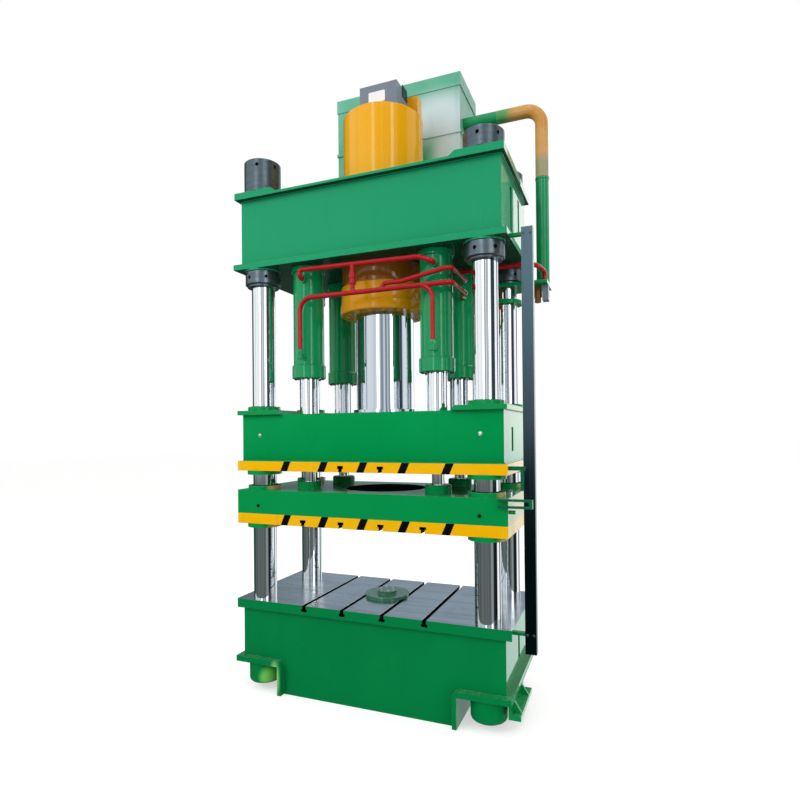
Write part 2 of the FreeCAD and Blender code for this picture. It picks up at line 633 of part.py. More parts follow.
def make_main_cylinder():
    """Barrel through the crown with a collar under it, the gland ring, and the parts on its top."""
    bore = sheet.barrel_bore
    top = BARREL_TOP
    edge = sheet.barrel_chamfer
    outer = sheet.barrel_radius
    collar = sheet.collar_radius
    barrel = new_body("main_cylinder")
    turned(barrel, [(bore, COLLAR_LOW), (collar, COLLAR_LOW), (collar, CROWN_LOW), (outer, CROWN_LOW),
                    (outer, top - edge), (outer - edge, top), (ZERO, top), (ZERO, BARREL_CEILING),
                    (bore, BARREL_CEILING)])
    ring = sheet.gland_radius
    neck = sheet.gland_neck_radius
    groove = sheet.gland_groove
    gland = new_body("main_gland")
    rod = sheet.ram_radius + sheet.running_clearance
    low = COLLAR_LOW - sheet.gland_height
    seam = low + sheet.gland_skirt
    turned(gland, [(rod, low), (ring - edge, low), (ring, low + edge), (ring, seam - groove),
                   (ring - groove, seam - groove), (ring - groove, seam), (neck, seam),
                   (neck, COLLAR_LOW - edge), (neck - edge, COLLAR_LOW), (rod, COLLAR_LOW)])
    block = new_body("filling_block")
    left = sheet.block_low_x
    front = sheet.block_front_y
    slab(block, "XY_Plane", [box_corners(left, left + sheet.block_width, front, front + sheet.block_depth)],
         sheet.block_height, offset=top)
    box = new_body("valve_box")
    left = sheet.box_low_x
    front = sheet.box_front_y
    slab(box, "XY_Plane", [box_corners(left, left + sheet.box_width, front, front + sheet.box_depth)],
         sheet.box_height, offset=top)


def make_tank():
    """Oil tank on a pedestal at the crown's rear, with a lid band, a bottom lip and two stays."""
    left = sheet.tank_left
    right = sheet.tank_right
    front = TANK_FRONT
    rear = front + sheet.tank_depth
    lid_low = TANK_LOW + sheet.tank_height - sheet.lid_height
    lip = sheet.bottom_lip
    tank = new_body("oil_tank")
    slab(tank, "XY_Plane", [box_corners(left, right, front, rear)], lid_low - TANK_LOW, offset=TANK_LOW)
    slab(tank, "XY_Plane", [box_corners(left - lip, right + lip, front - lip, rear + lip)],
         sheet.bottom_lip_height, offset=TANK_LOW)
    lid = new_body("tank_lid")
    step = sheet.lid_step
    slab(lid, "XY_Plane", [box_corners(left - step, right + step, front - step, rear + step)],
         sheet.lid_height, offset=lid_low)
    pedestal = new_body("tank_pedestal")
    slab(pedestal, "XY_Plane", [box_corners(left, right, front, front + sheet.pedestal_depth)],
         sheet.pedestal_height, offset=CROWN_TOP)
    wall = front + sheet.pedestal_depth
    floor = TANK_LOW
    stay_low = floor - sheet.stay_drop
    for x in (left + sheet.stay_inset, right - sheet.stay_inset - sheet.stay_plate):
        slab(pedestal, "YZ_Plane", [[(wall - step, floor), (wall - step, stay_low), (wall + lip, stay_low),
                                     (rear - sheet.stay_plate, floor)]],
             sheet.stay_plate, offset=x)


def make_large_pipe():
    """Pipe from the tank's right side, over and down beside the crown to a shelf on the rear column."""
    x = COLUMN_X + sheet.pipe_out_x
    y = COLUMN_Y + sheet.pipe_out_y
    z = TANK_LOW + sheet.pipe_run_rise
    low = z - sheet.pipe_bend_drop
    radius = sheet.pipe_radius
    bend = sheet.pipe_bend
    joint = sheet.tank_right + sheet.pipe_stub_length
    add_pipe("tank_pipe_stub", [pipe_solid([(sheet.tank_right, y, z), (joint, y, z)], radius, bend)])
    add_pipe("tank_pipe_bend", [pipe_solid([(joint, y, z), (x, y, z), (x, y, low)], radius, bend)])
    drop = new_body("tank_pipe_drop")
    weld = low - sheet.weld_width
    turned(drop, [(ZERO, SHELF_TOP), (radius, SHELF_TOP), (radius, weld), (sheet.weld_radius, weld),
                  (sheet.weld_radius, low), (ZERO, low)])
    place(drop, x, y)


def make_shelf():
    """Shelf clamped round the rear right column, with the fitting and the block hung under it."""
    low = SHELF_TOP - sheet.shelf_plate
    shelf = new_body("pipe_shelf")
    slab(shelf, "XY_Plane", [box_corners(COLUMN_X - sheet.clamp_radius, COLUMN_X + sheet.shelf_out_x,
                                         COLUMN_Y - sheet.shelf_out_front, COLUMN_Y + sheet.shelf_out_rear)],
         sheet.shelf_plate, offset=low)
    cut(shelf, "XY_Plane", [], sheet.shelf_plate, offset=SHELF_TOP,
        circles=[(COLUMN_X, COLUMN_Y, COLUMN_BORE)])
    clamp = new_body("column_clamp")
    foot = SHELF_TOP - sheet.clamp_drop
    high = foot + sheet.clamp_height
    turned(clamp, [(COLUMN_BORE, foot), (sheet.clamp_radius, foot), (sheet.clamp_radius, high),
                   (COLUMN_BORE, high)])
    place(clamp, COLUMN_X, COLUMN_Y)
    fitting = new_body("feed_fitting")
    radius = sheet.fitting_radius
    waist = radius - sheet.fitting_waist
    third = sheet.fitting_height / 3
    foot = low - sheet.fitting_height
    turned(fitting, [(ZERO, foot), (waist, foot), (waist, foot + third), (radius, foot + third),
                     (radius, low - third), (waist, low - third), (waist, low), (ZERO, low)])
    place(fitting, COLUMN_X + sheet.fitting_out_x, COLUMN_Y + sheet.fitting_out_y)
    block = new_body("feed_block")
    left = COLUMN_X + sheet.feed_out_x
    front = COLUMN_Y - sheet.feed_out_front
    slab(block, "XY_Plane", [box_corners(left, left + sheet.feed_width, front, front + sheet.feed_depth)],
         sheet.feed_height, offset=low - sheet.feed_height)


def make_blank_holder_cylinders():
    """Four barrels hung from the crown, each with a flange, its ports and a gland."""
    outer = sheet.aux_barrel_radius
    bore = sheet.aux_bore
    under = CROWN_LOW
    flange_low = under - sheet.aux_flange
    high = AUX_GLAND_TOP
    low = high - sheet.aux_gland_height
    edge = sheet.aux_gland_chamfer
    for name, (x, y) in AUX.items():
        barrel = new_body("holder_barrel_" + name)
        turned(barrel, [(bore, high), (outer, high), (outer, flange_low),
                        (sheet.aux_flange_radius, flange_low), (sheet.aux_flange_radius, under),
                        (outer, under), (outer, AUX_TOP), (ZERO, AUX_TOP), (ZERO, AUX_CEILING),
                        (bore, AUX_CEILING)])
        document.recompute()
        if name.startswith("front"):
            port = sheet.port_turn
            face = outer + sheet.port_out
            slab(barrel, "XZ_Plane", [], face - PORT_ROOT, offset=PORT_ROOT,
                 circles=[(port, PORT_HIGH, sheet.port_radius)])
            slab(barrel, "XZ_Plane", [], sheet.line_out - PORT_ROOT, offset=PORT_ROOT,
                 circles=[(port, PORT_LOW + sheet.port_height / 2, sheet.port_neck_radius)])
            slab(barrel, "XY_Plane", [], sheet.port_height, offset=PORT_LOW,
                 circles=[(port, -sheet.line_out, sheet.port_radius)])
        elif name.endswith("right"):
            slab(barrel, "XZ_Plane", [], outer - REAR_PORT_ROOT, offset=REAR_PORT_ROOT,
                 circles=[(sheet.rear_port_turn, REAR_PORT_HIGH, sheet.rear_port_radius),
                          (sheet.rear_port_turn, REAR_PORT_LOW, sheet.rear_port_radius)])
        place(barrel, x, y)
        gland = new_body("holder_gland_" + name)
        rod = sheet.rod_radius + sheet.running_clearance
        ring = sheet.aux_gland_radius
        turned(gland, [(rod, low), (ring - edge, low), (ring, low + edge), (ring, high - edge),
                       (ring - edge, high), (rod, high)])
        place(gland, x, y)


def make_oil_pipes():
    """Red oil pipes between the ports of the blank-holder cylinders, and the feed at the rear."""
    radius = sheet.oil_pipe_radius
    thin = radius - sheet.branch_step
    elbow = sheet.pipe_elbow
    sweep = sheet.pipe_sweep
    y = -(AUX_Y + sheet.line_out)
    face = -(AUX_Y + sheet.aux_barrel_radius + sheet.port_out)
    left = sheet.port_turn - AUX_X
    right = sheet.port_turn + AUX_X
    port = PORT_HIGH
    high = CROWN_LOW - sheet.upper_line_drop
    lean = high - sheet.upper_line_fall
    tee = sheet.tee_x
    union_low = CROWN_LOW - sheet.union_drop
    union_high = union_low + sheet.union_rings * sheet.union_step
    upper = pipe_solid([(left, face, port), (left, y, port), (left, y, high), (right - sweep, y, lean),
                        (right, y, port), (right, face, port)], radius, elbow)
    drop = pipe_solid([(tee, y, (high + lean) / 2), (tee, y, union_high)], thin, elbow)
    add_pipe("upper_oil_line", [upper, drop])

    low = CROWN_LOW - sheet.lower_line_drop
    port_top = PORT_LOW + sheet.port_height
    far = AUX_X + sheet.line_far
    back = sheet.line_back_y
    end_x = AUX_X + sheet.rear_port_turn
    end_y = AUX_Y - sheet.aux_barrel_radius
    turn_y = end_y - sheet.line_turn
    main = pipe_solid([(left, y, port_top), (left, y, low), (far, y, low), (far, back, low),
                       (end_x, turn_y, REAR_PORT_LOW), (end_x, end_y, REAR_PORT_LOW)],
                      radius, elbow, first_bend=sweep)
    branch = pipe_solid([(right, y, port_top), (right, y, low), (right - 2 * sweep, y, low)], thin, sweep)
    riser = pipe_solid([(tee, y, union_low), (tee, y, low), (tee + 2 * elbow, y, low)], thin, elbow)
    start = sheet.cross_line_start
    cross = low + sheet.cross_line_rise
    end = CROWN_LOW - sheet.cross_end_drop
    link = pipe_solid([(start, y, low), (start + elbow, y, cross), (AUX_X - 2 * sweep, y, cross),
                       (far - 2 * elbow, y, end), (far, y, end), (far, back, end),
                       (end_x, turn_y, REAR_PORT_HIGH), (end_x, end_y, REAR_PORT_HIGH)], thin, elbow)
    add_pipe("lower_oil_line", [main, branch, riser, link])

    union = new_body("line_union")
    hole = thin + sheet.bore_clearance
    rings = []
    for step in range(int(sheet.union_rings.value)):
        ring = sheet.union_neck if step % 2 else sheet.union_radius
        foot = union_low + step * sheet.union_step
        rings += [(ring, foot), (ring, foot + sheet.union_step)]
    turned(union, [(hole, union_low), *rings, (hole, union_high)])
    place(union, tee, y)

    rear_y = sheet.rear_line_y
    rear_z = CROWN_LOW - sheet.rear_line_drop
    end_x = COLUMN_X + sheet.rear_line_end_x
    end_y = COLUMN_Y - sheet.rear_line_end_y
    rear = pipe_solid([(sheet.collar_radius - sheet.rear_line_seat, rear_y, rear_z),
                       (COLUMN_X + sheet.rear_line_out, rear_y, rear_z),
                       (end_x, end_y, rear_z - sheet.rear_line_fall), (end_x, end_y, SHELF_TOP)],
                      radius, elbow, first_bend=sweep)
    add_pipe("rear_oil_line", [rear])


def make_switch_rail():
    """Angle section that carries the limit switches, and the two bars that hold it."""
    right = RAIL_LEFT + sheet.rail_width
    wall = sheet.rail_wall
    back = RAIL_FRONT + sheet.rail_side
    inner = RAIL_FRONT + wall
    foot = sheet.bed_plate_top - sheet.rail_past_bed
    top = CROWN_LOW + sheet.rail_past_crown
    rail = new_body("switch_rail")
    slab(rail, "XY_Plane", [[(RAIL_LEFT, RAIL_FRONT), (right, RAIL_FRONT), (right, back),
                             (right - wall, back), (right - wall, inner), (RAIL_LEFT, inner)]],
         top - foot, offset=foot)
    bars = new_body("rail_bars")
    low = sheet.bed_plate_top - sheet.rail_bar_drop - sheet.rail_bar
    for left, height in ((BED_PLATE_X, low), (CROWN_PLATE_X, CROWN_LOW)):
        slab(bars, "XY_Plane", [box_corners(left, right - wall, inner, inner + sheet.rail_bar_depth)],
             sheet.rail_bar, offset=height)


# ---------------------------------------------------------------------------------------------
# Upper slide
# ---------------------------------------------------------------------------------------------
def slide_bores(body, low, high):
    """Bores for the guide bushes and passages for the blank-holder rods."""
    bush = sheet.column_radius + sheet.bush_wall + sheet.bore_clearance
    cut(body, "XY_Plane", [], high - low, offset=high,
        circles=circles_at(COLUMN_X, COLUMN_Y, bush))


def rod_passages(body, low, high):
    """Passages for the blank-holder rods through the upper slide."""
    cut(body, "XY_Plane", [], high - low, offset=high,
        circles=circles_at(AUX_X, AUX_Y, sheet.rod_radius + sheet.rod_passage))


def make_slide_plate(name, low, high, slot_count):
    """Slide plate with T-slots open downwards; its edge carries the warning stripes."""
    body = new_body(name)
    slab(body, "XY_Plane", [box_corners(-SLIDE_X, SLIDE_X, -SLIDE_Y, SLIDE_Y)], high - low, offset=low)
    slide_bores(body, low, high)
    t_slots(body, low, 1, 2 * SLIDE_Y, slot_count)
    return body


def make_bushes(short, low, high, top_flange):
    """Four guide bushes, each with a flange above the slide, and the wiper rings under the slide."""
    inner = sheet.column_radius + sheet.running_clearance
    outer = sheet.column_radius + sheet.bush_wall
    flange = sheet.bush_flange_radius
    top = high + top_flange
    bushes = new_body(short + "_guide_bushes")
    turned(bushes, [(inner, low), (outer, low), (outer, high), (flange, high), (flange, top), (inner, top)])
    four_of(bushes, COLUMN_X, COLUMN_Y)
    rings = new_body(short + "_wiper_rings")
    ring = sheet.wiper_ring_radius
    foot = low - sheet.wiper_ring
    turned(rings, [(inner, foot), (ring, foot), (ring, low), (inner, low)])
    four_of(rings, COLUMN_X, COLUMN_Y)


def make_upper_slide():
    """Upper slide: box with full-depth pads, its slotted plate, ram, bushes and switch arm."""
    low = UPPER_PLATE_TOP
    high = UPPER_TOP
    pad_top = high + sheet.slide_pad
    body = new_body("upper_slide")
    slab(body, "XZ_Plane", [box_corners(-BODY_X, BODY_X, low, high)], 2 * BODY_Y, middle=True)
    pads = []
    for side in (-1, 1):
        inner = side * (PAD_INNER - sheet.pad_bevel / 2)
        pads.append([(side * SLIDE_X, high), (side * SLIDE_X, pad_top), (inner, pad_top),
                     (inner - side * sheet.slide_pad, high)])
    slab(body, "XZ_Plane", pads, 2 * SLIDE_Y, middle=True)
    slide_bores(body, low, pad_top)
    rod_passages(body, low, high)
    side_slot(body, sheet.upper_slot_y, low + sheet.upper_slot_rise, sheet.upper_slot_height)
    plate = make_slide_plate("upper_slide_plate", UPPER_PLATE_LOW, low, sheet.upper_slot_count)
    rod_passages(plate, UPPER_PLATE_LOW, low)
    make_bushes("upper", UPPER_PLATE_LOW, pad_top, sheet.upper_bush_flange)

    ram = new_body("ram")
    foot = high + sheet.ram_foot_height
    piston_top = BARREL_CEILING - sheet.piston_gap
    piston_low = piston_top - sheet.piston_height
    head = sheet.barrel_bore - sheet.running_clearance
    turned(ram, [(ZERO, high), (sheet.ram_foot_radius, high), (sheet.ram_foot_radius, foot),
                 (sheet.ram_radius, foot), (sheet.ram_radius, piston_low), (head, piston_low),
                 (head, piston_top), (ZERO, piston_top)])

    arm = new_body("upper_switch_arm")
    top = low - sheet.arm_drop
    under = top - sheet.arm_bar
    end = RAIL_LEFT + sheet.arm_past
    flag_right = end - sheet.flag_inset
    flag_left = flag_right - sheet.flag_width
    flag_low = under - sheet.flag_drop
    slab(arm, "XZ_Plane", [[(SLIDE_X, under), (flag_left, under), (flag_left, flag_low),
                            (flag_right, flag_low), (flag_right, under), (end, under), (end, top),
                            (SLIDE_X, top)]],
         sheet.arm_depth, offset=sheet.arm_gap - RAIL_FRONT)


def make_lower_slide():
    """Lower slide: box with a stop pin, its slotted plate, rods, flanges, bushes and fork."""
    low = LOWER_PLATE_TOP
    high = LOWER_TOP
    opening = [(ZERO, ZERO, sheet.lower_opening_radius)]
    body = new_body("lower_slide")
    slab(body, "XY_Plane", [box_corners(-SLIDE_X, SLIDE_X, -SLIDE_Y, SLIDE_Y)], high - low, offset=low)
    slab(body, "YZ_Plane", [], sheet.pin_length, offset=SLIDE_X,
         circles=[(sheet.pin_inset - SLIDE_Y, high - sheet.pin_drop, sheet.pin_radius)])
    slide_bores(body, low, high)
    cut(body, "XY_Plane", [], high - low, offset=high, circles=opening)
    plate = make_slide_plate("lower_slide_plate", LOWER_PLATE_LOW, low, sheet.lower_slot_count)
    cut(plate, "XY_Plane", [], sheet.lower_plate_height, offset=low, circles=opening)
    make_bushes("lower", LOWER_PLATE_LOW, high, sheet.lower_bush_flange)

    stud = sheet.stud_radius
    shoulder = high + sheet.stud_length
    wide = sheet.rod_radius
    piston_top = AUX_CEILING - sheet.aux_piston_gap
    piston_low = piston_top - sheet.aux_piston
    head = sheet.aux_bore - sheet.running_clearance
    for name, (x, y) in AUX.items():
        rod = new_body("holder_rod_" + name)
        turned(rod, [(ZERO, high), (stud, high), (stud, shoulder), (wide, shoulder), (wide, piston_low),
                     (head, piston_low), (head, piston_top), (ZERO, piston_top)])
        place(rod, x, y)
    flange = new_body("rod_flanges")
    soft = sheet.flange_rounding
    top = high + sheet.flange_height
    hole = stud + sheet.bore_clearance
    turned(flange, [(hole, high), (sheet.flange_radius, high), (sheet.flange_radius, top - soft),
                    (sheet.flange_radius - soft, top), (hole, top)])
    four_of(flange, AUX_X, AUX_Y)

    fork = new_body("lower_switch_fork")
    start = SLIDE_X - sheet.fork_foot
    reach = RAIL_LEFT + sheet.rail_width - sheet.fork_past
    inner = reach - sheet.fork_end
    fork_low = high - sheet.fork_height
    slab(fork, "XZ_Plane", [[(start, high), (start, high - sheet.fork_wall), (inner, high - sheet.fork_wall),
                             (inner, fork_low + sheet.fork_wall), (start, fork_low + sheet.fork_wall),
                             (start, fork_low), (reach, fork_low), (reach, high)]],
         sheet.fork_depth, offset=SLIDE_Y)


make_bed()
make_bed_plate()
make_centre_cover()
make_side_bracket()
make_columns()
make_nuts()
make_crown()
make_main_cylinder()
make_tank()
make_large_pipe()
make_shelf()
make_blank_holder_cylinders()
make_oil_pipes()
make_switch_rail()
make_upper_slide()
make_lower_slide()
document.recompute()

for item in document.Objects:
    if "Invalid" in item.State or "Error" in item.State:
        raise ValueError("%s did not build: %s" % (item.Name, item.State))
os.makedirs("parts", exist_ok=True)
for part in parts:
    if part.Shape.isNull() or not part.Shape.isValid():
        raise ValueError("%s has no valid shape" % part.Label)
    part.Shape.exportStep(os.path.join("parts", part.Label + ".step"))
print("%d sub-parts written" % len(parts))
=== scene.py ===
"""Looks of a four-column hydraulic press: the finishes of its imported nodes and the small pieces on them.

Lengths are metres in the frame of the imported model: +Z is up, the front faces -Y and the floor is z = 0.
"""

import logging
import math
from dataclasses import dataclass, field, replace
from enum import Enum
from typing import Any, Callable, Dict, List, Optional, Sequence, Tuple, Union

import bpy
from mathutils import Matrix, Vector


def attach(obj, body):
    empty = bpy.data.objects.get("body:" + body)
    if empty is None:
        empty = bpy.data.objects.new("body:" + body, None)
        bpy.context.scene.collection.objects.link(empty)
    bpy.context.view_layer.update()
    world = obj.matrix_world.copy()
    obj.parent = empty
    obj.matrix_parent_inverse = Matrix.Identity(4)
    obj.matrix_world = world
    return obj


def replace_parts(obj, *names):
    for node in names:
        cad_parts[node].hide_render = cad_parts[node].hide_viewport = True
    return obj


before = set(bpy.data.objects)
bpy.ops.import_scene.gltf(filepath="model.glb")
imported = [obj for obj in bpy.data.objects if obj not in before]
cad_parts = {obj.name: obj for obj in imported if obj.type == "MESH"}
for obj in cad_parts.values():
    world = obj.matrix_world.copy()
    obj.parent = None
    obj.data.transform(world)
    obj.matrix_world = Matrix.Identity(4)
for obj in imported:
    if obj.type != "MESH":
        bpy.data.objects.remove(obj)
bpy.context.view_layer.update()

LOG = logging.getLogger("press")
Colour = Tuple[float, float, float, float]
Point = Tuple[float, float, float]
Piece = bpy.types.Object
COATED = {"Specular_IOR_Level": 0.03, "Coat_Roughness": 0.05, "Coat_IOR": 1.35}
SENSOR_WIDTH = 36.0
FACE_TOLERANCE = 0.0008
RIPPLE_STEP = 0.012
CLOUD_SCALE, GRAIN_SCALE, RUN_SCALE, PEEL_SCALE, BLOT_SCALE = 1.4, 55.0, 13.0, 320.0, 21.0
WHITE: Colour = (1.0, 1.0, 1.0, 1.0)
SHADOW, GRIME, DUST = "0a100c", "1c241f", "b9bdb4"
# The bore and slot colours are painted shade, the edge colour a painted highlight.
BORE_SHADE, SLOT_SHADE, BAR_BLACK, EDGE_HIGHLIGHT = "14191b", "0b1013", "07090a", "d9dcdd"


class Body(Enum):
    """The three bodies that move against each other."""

    FRAME = "frame"
    LOWER = "lower_slide"
    UPPER = "upper_slide"


class Facing(Enum):
    """A direction that a screw head, nut or plate faces."""

    UP = (0.0, 0.0, 1.0)
    DOWN = (0.0, 0.0, -1.0)
    FRONT = (0.0, -1.0, 0.0)
    RIGHT = (1.0, 0.0, 0.0)

    def turn(self) -> Matrix:
        """The rotation that carries +Z to this direction."""
        return Vector((0.0, 0.0, 1.0)).rotation_difference(Vector(self.value)).to_matrix().to_4x4()


def shade(code: str) -> Colour:
    """Linear colour of a six-digit screen colour.

    Args:
        code: Six hexadecimal digits, as "1f9a66".

    Returns:
        Linear red, green and blue, with an alpha of 1.
    """
    parts = [int(code[i:i + 2], 16) / 255.0 for i in (0, 2, 4)]
    red, green, blue = [p / 12.92 if p <= 0.04045 else ((p + 0.055) / 1.055) ** 2.4 for p in parts]
    return (red, green, blue, 1.0)


# ------------------------------------------------------------------------------------------- shading
class Wire:
    """An output of a shader node. Arithmetic on it adds Math nodes."""

    def __init__(self, graph: "Graph", socket: bpy.types.NodeSocket) -> None:
        self.graph = graph
        self.socket = socket

    def _math(self, operation: str, other: Any, swap: bool = False, clamp: bool = False) -> "Wire":
        pair = (other, self) if swap else (self, other)
        return self.graph.add("Math", {"operation": operation, "use_clamp": clamp}, dict(enumerate(pair)))

    def __add__(self, other: Any) -> "Wire":
        """Sum."""
        return self._math("ADD", other)

    def __radd__(self, other: Any) -> "Wire":
        """Sum, number first."""
        return self._math("ADD", other, swap=True)

    def __sub__(self, other: Any) -> "Wire":
        """Difference."""
        return self._math("SUBTRACT", other)

    def __rsub__(self, other: Any) -> "Wire":
        """Difference, number first."""
        return self._math("SUBTRACT", other, swap=True)

    def __mul__(self, other: Any) -> "Wire":
        """Product."""
        return self._math("MULTIPLY", other)

    def __truediv__(self, other: Any) -> "Wire":
        """Quotient."""
        return self._math("DIVIDE", other)

    def __abs__(self) -> "Wire":
        """Absolute value."""
        return self.graph.add("Math", {"operation": "ABSOLUTE"}, {0: self})

    def __gt__(self, other: Any) -> "Wire":
        """1 where this is more than other, else 0."""
        return self._math("GREATER_THAN", other)

    def __lt__(self, other: Any) -> "Wire":
        """1 where this is less than other, else 0."""
        return self._math("LESS_THAN", other)

    def turn_to(self, other: Any) -> "Wire":
        """Angle in radians whose sine goes with this and whose cosine goes with other."""
        return self._math("ARCTAN2", other)

    def wrap(self, span: float) -> "Wire":
        """Distance past the last multiple of span, never negative."""
        return self._math("FLOORED_MODULO", span)

    def both(self, other: Any) -> "Wire":
        """The smaller of the two."""
        return self._math("MINIMUM", other)

    def either(self, other: Any) -> "Wire":
        """The larger of the two."""
        return self._math("MAXIMUM", other)

    def held(self) -> "Wire":
        """This value kept between 0 and 1."""
        return self._math("ADD", 0.0, clamp=True)

    def step(self, low: float, high: float) -> "Wire":
        """Smooth 0 to 1 from low to high; low may be the larger."""
        inputs = {"Value": self, "From Min": low, "From Max": high}
        return self.graph.add("MapRange", {"interpolation_type": "SMOOTHSTEP"}, inputs)


class Graph:
    """The node tree of a material or the world, built by add()."""

    def __init__(self, tree: bpy.types.NodeTree) -> None:
        self.tree = tree
        tree.nodes.clear()

    def add(self, kind: str, settings: Optional[Dict[str, Any]] = None,
            inputs: Optional[Dict[Union[int, str], Any]] = None, output: Union[int, str] = 0) -> Wire:
        """Adds a node, its settings first and its inputs after.

        Args:
            kind: Node type without its ShaderNode prefix.
            settings: Attributes of the node.
            inputs: Values or wires of its sockets, by index or name.
            output: The socket that is handed back.

        Returns:
            The wrapped output.
        """
        node = self.tree.nodes.new("ShaderNode" + kind)
        for name, value in (settings or {}).items():
            setattr(node, name, value)
        for key, value in (inputs or {}).items():
            if isinstance(value, Wire):
                self.tree.links.new(value.socket, node.inputs[key])
            else:
                node.inputs[key].default_value = value
        return Wire(self, node.outputs[output] if len(node.outputs) else None)

    def point(self) -> Wire:
        """Object coordinates, in metres."""
        return self.add("TexCoord", output="Object")

    def rays(self, *kinds: str) -> List[Wire]:
        """For each kind of ray, 1 where such a ray meets the surface, else 0."""
        return [self.add("LightPath", output=f"Is {kind} Ray") for kind in kinds]

    def split(self, vector: Wire) -> Tuple[Wire, Wire, Wire]:
        """The three parts of a vector."""
        first = self.add("SeparateXYZ", inputs={0: vector})
        return tuple(Wire(self, first.socket.node.outputs[i]) for i in range(3))

    def noise(self, scale: float, stretch: Point = (1.0, 1.0, 1.0), detail: float = 3.0,
              rough: float = 0.5) -> Wire:
        """Noise from about 0.3 to 0.7.

        Args:
            scale: Features per metre.
            stretch: Factor on each axis; below 1 draws the features out along it.
            detail: Octaves.
            rough: How strong the small octaves are.

        Returns:
            The noise value.
        """
        size = tuple(scale * s for s in stretch)
        place = self.add("Mapping", inputs={"Vector": self.point(), "Scale": size})
        inputs = {"Vector": place, "Scale": 1.0, "Detail": detail, "Roughness": rough}
        return self.add("TexNoise", inputs=inputs)

    def mix(self, factor: Any, first: Any, second: Any, blend: str = "MIX") -> Wire:
        """Colour mix: first at factor 0, second at factor 1."""
        settings = {"data_type": "RGBA", "blend_type": blend, "clamp_factor": True}
        return self.add("Mix", settings, {0: factor, 6: first, 7: second}, 2)

    def ramp(self, factor: Wire, stops: Sequence[Tuple[float, Colour]]) -> Wire:
        """A colour along a row of stops.

        Args:
            factor: Where along the row, from 0 to 1.
            stops: Place and colour of each stop, in order.

        Returns:
            The colour.
        """
        found = self.add("ValToRGB", inputs={0: factor})
        row = found.socket.node.color_ramp
        while len(row.elements) < len(stops):
            row.elements.new(1.0)
        for element, (place, colour) in zip(row.elements, stops):
            element.position = place
            element.color = colour
        return found

    def normal(self) -> Wire:
        """The surface normal, in world space, which is the press's own."""
        return self.add("NewGeometry", output="Normal")

    def rounded(self, radius: float) -> Tuple[Wire, Wire]:
        """Rounded edges.

        Args:
            radius: Radius of the rounding, in metres.

        Returns:
            The rounded normal, and a mask that is 1 on the edges.
        """
        soft = self.add("Bevel", {"samples": 4}, {"Radius": radius})
        along = self.add("VectorMath", {"operation": "DOT_PRODUCT"}, {0: soft, 1: self.normal()}, "Value")
        return soft, (1.0 - along).step(0.004, 0.1)

    def bump(self, height: Wire, distance: float, normal: Optional[Wire] = None) -> Wire:
        """Bumped normal of a height between 0 and 1, which stands for distance metres."""
        inputs: Dict[Union[int, str], Any] = {"Height": height, "Distance": distance, "Strength": 1.0}
        if normal is not None:
            inputs["Normal"] = normal
        return self.add("Bump", inputs=inputs)

    def surface(self, **sockets: Any) -> None:
        """Ends the tree in a Principled shader; names use _ for spaces."""
        inputs = {name.replace("_", " "): value for name, value in sockets.items()}
        shader = self.add("BsdfPrincipled", inputs=inputs)
        self.add("OutputMaterial", inputs={"Surface": shader})


def new_graph(name: str) -> Tuple[bpy.types.Material, Graph]:
    """A new material and its empty graph."""
    material = bpy.data.materials.new(name)
    material.use_nodes = True
    return material, Graph(material.node_tree)


@dataclass(frozen=True)
class Patch:
    """A patch where a finish takes another colour, with an uneven border: a second paint, a stain, or painted
    light such as a highlight or reflection.
    """

    centre: Point
    reach: Point
    colour: str
    strength: float = 0.7

    def mask(self, graph: Graph, wobble: Wire) -> Wire:
        """The strength at the centre, fading to 0 at the reach along each axis."""
        away = graph.add("VectorMath", {"operation": "SUBTRACT"}, {0: graph.point(), 1: self.centre})
        share = graph.add("VectorMath", {"operation": "DIVIDE"}, {0: away, 1: self.reach})
        length = graph.add("VectorMath", {"operation": "LENGTH"}, {0: share}, "Value")
        return (length + (wobble - 0.5) * 0.5).step(1.0, 0.3) * self.strength


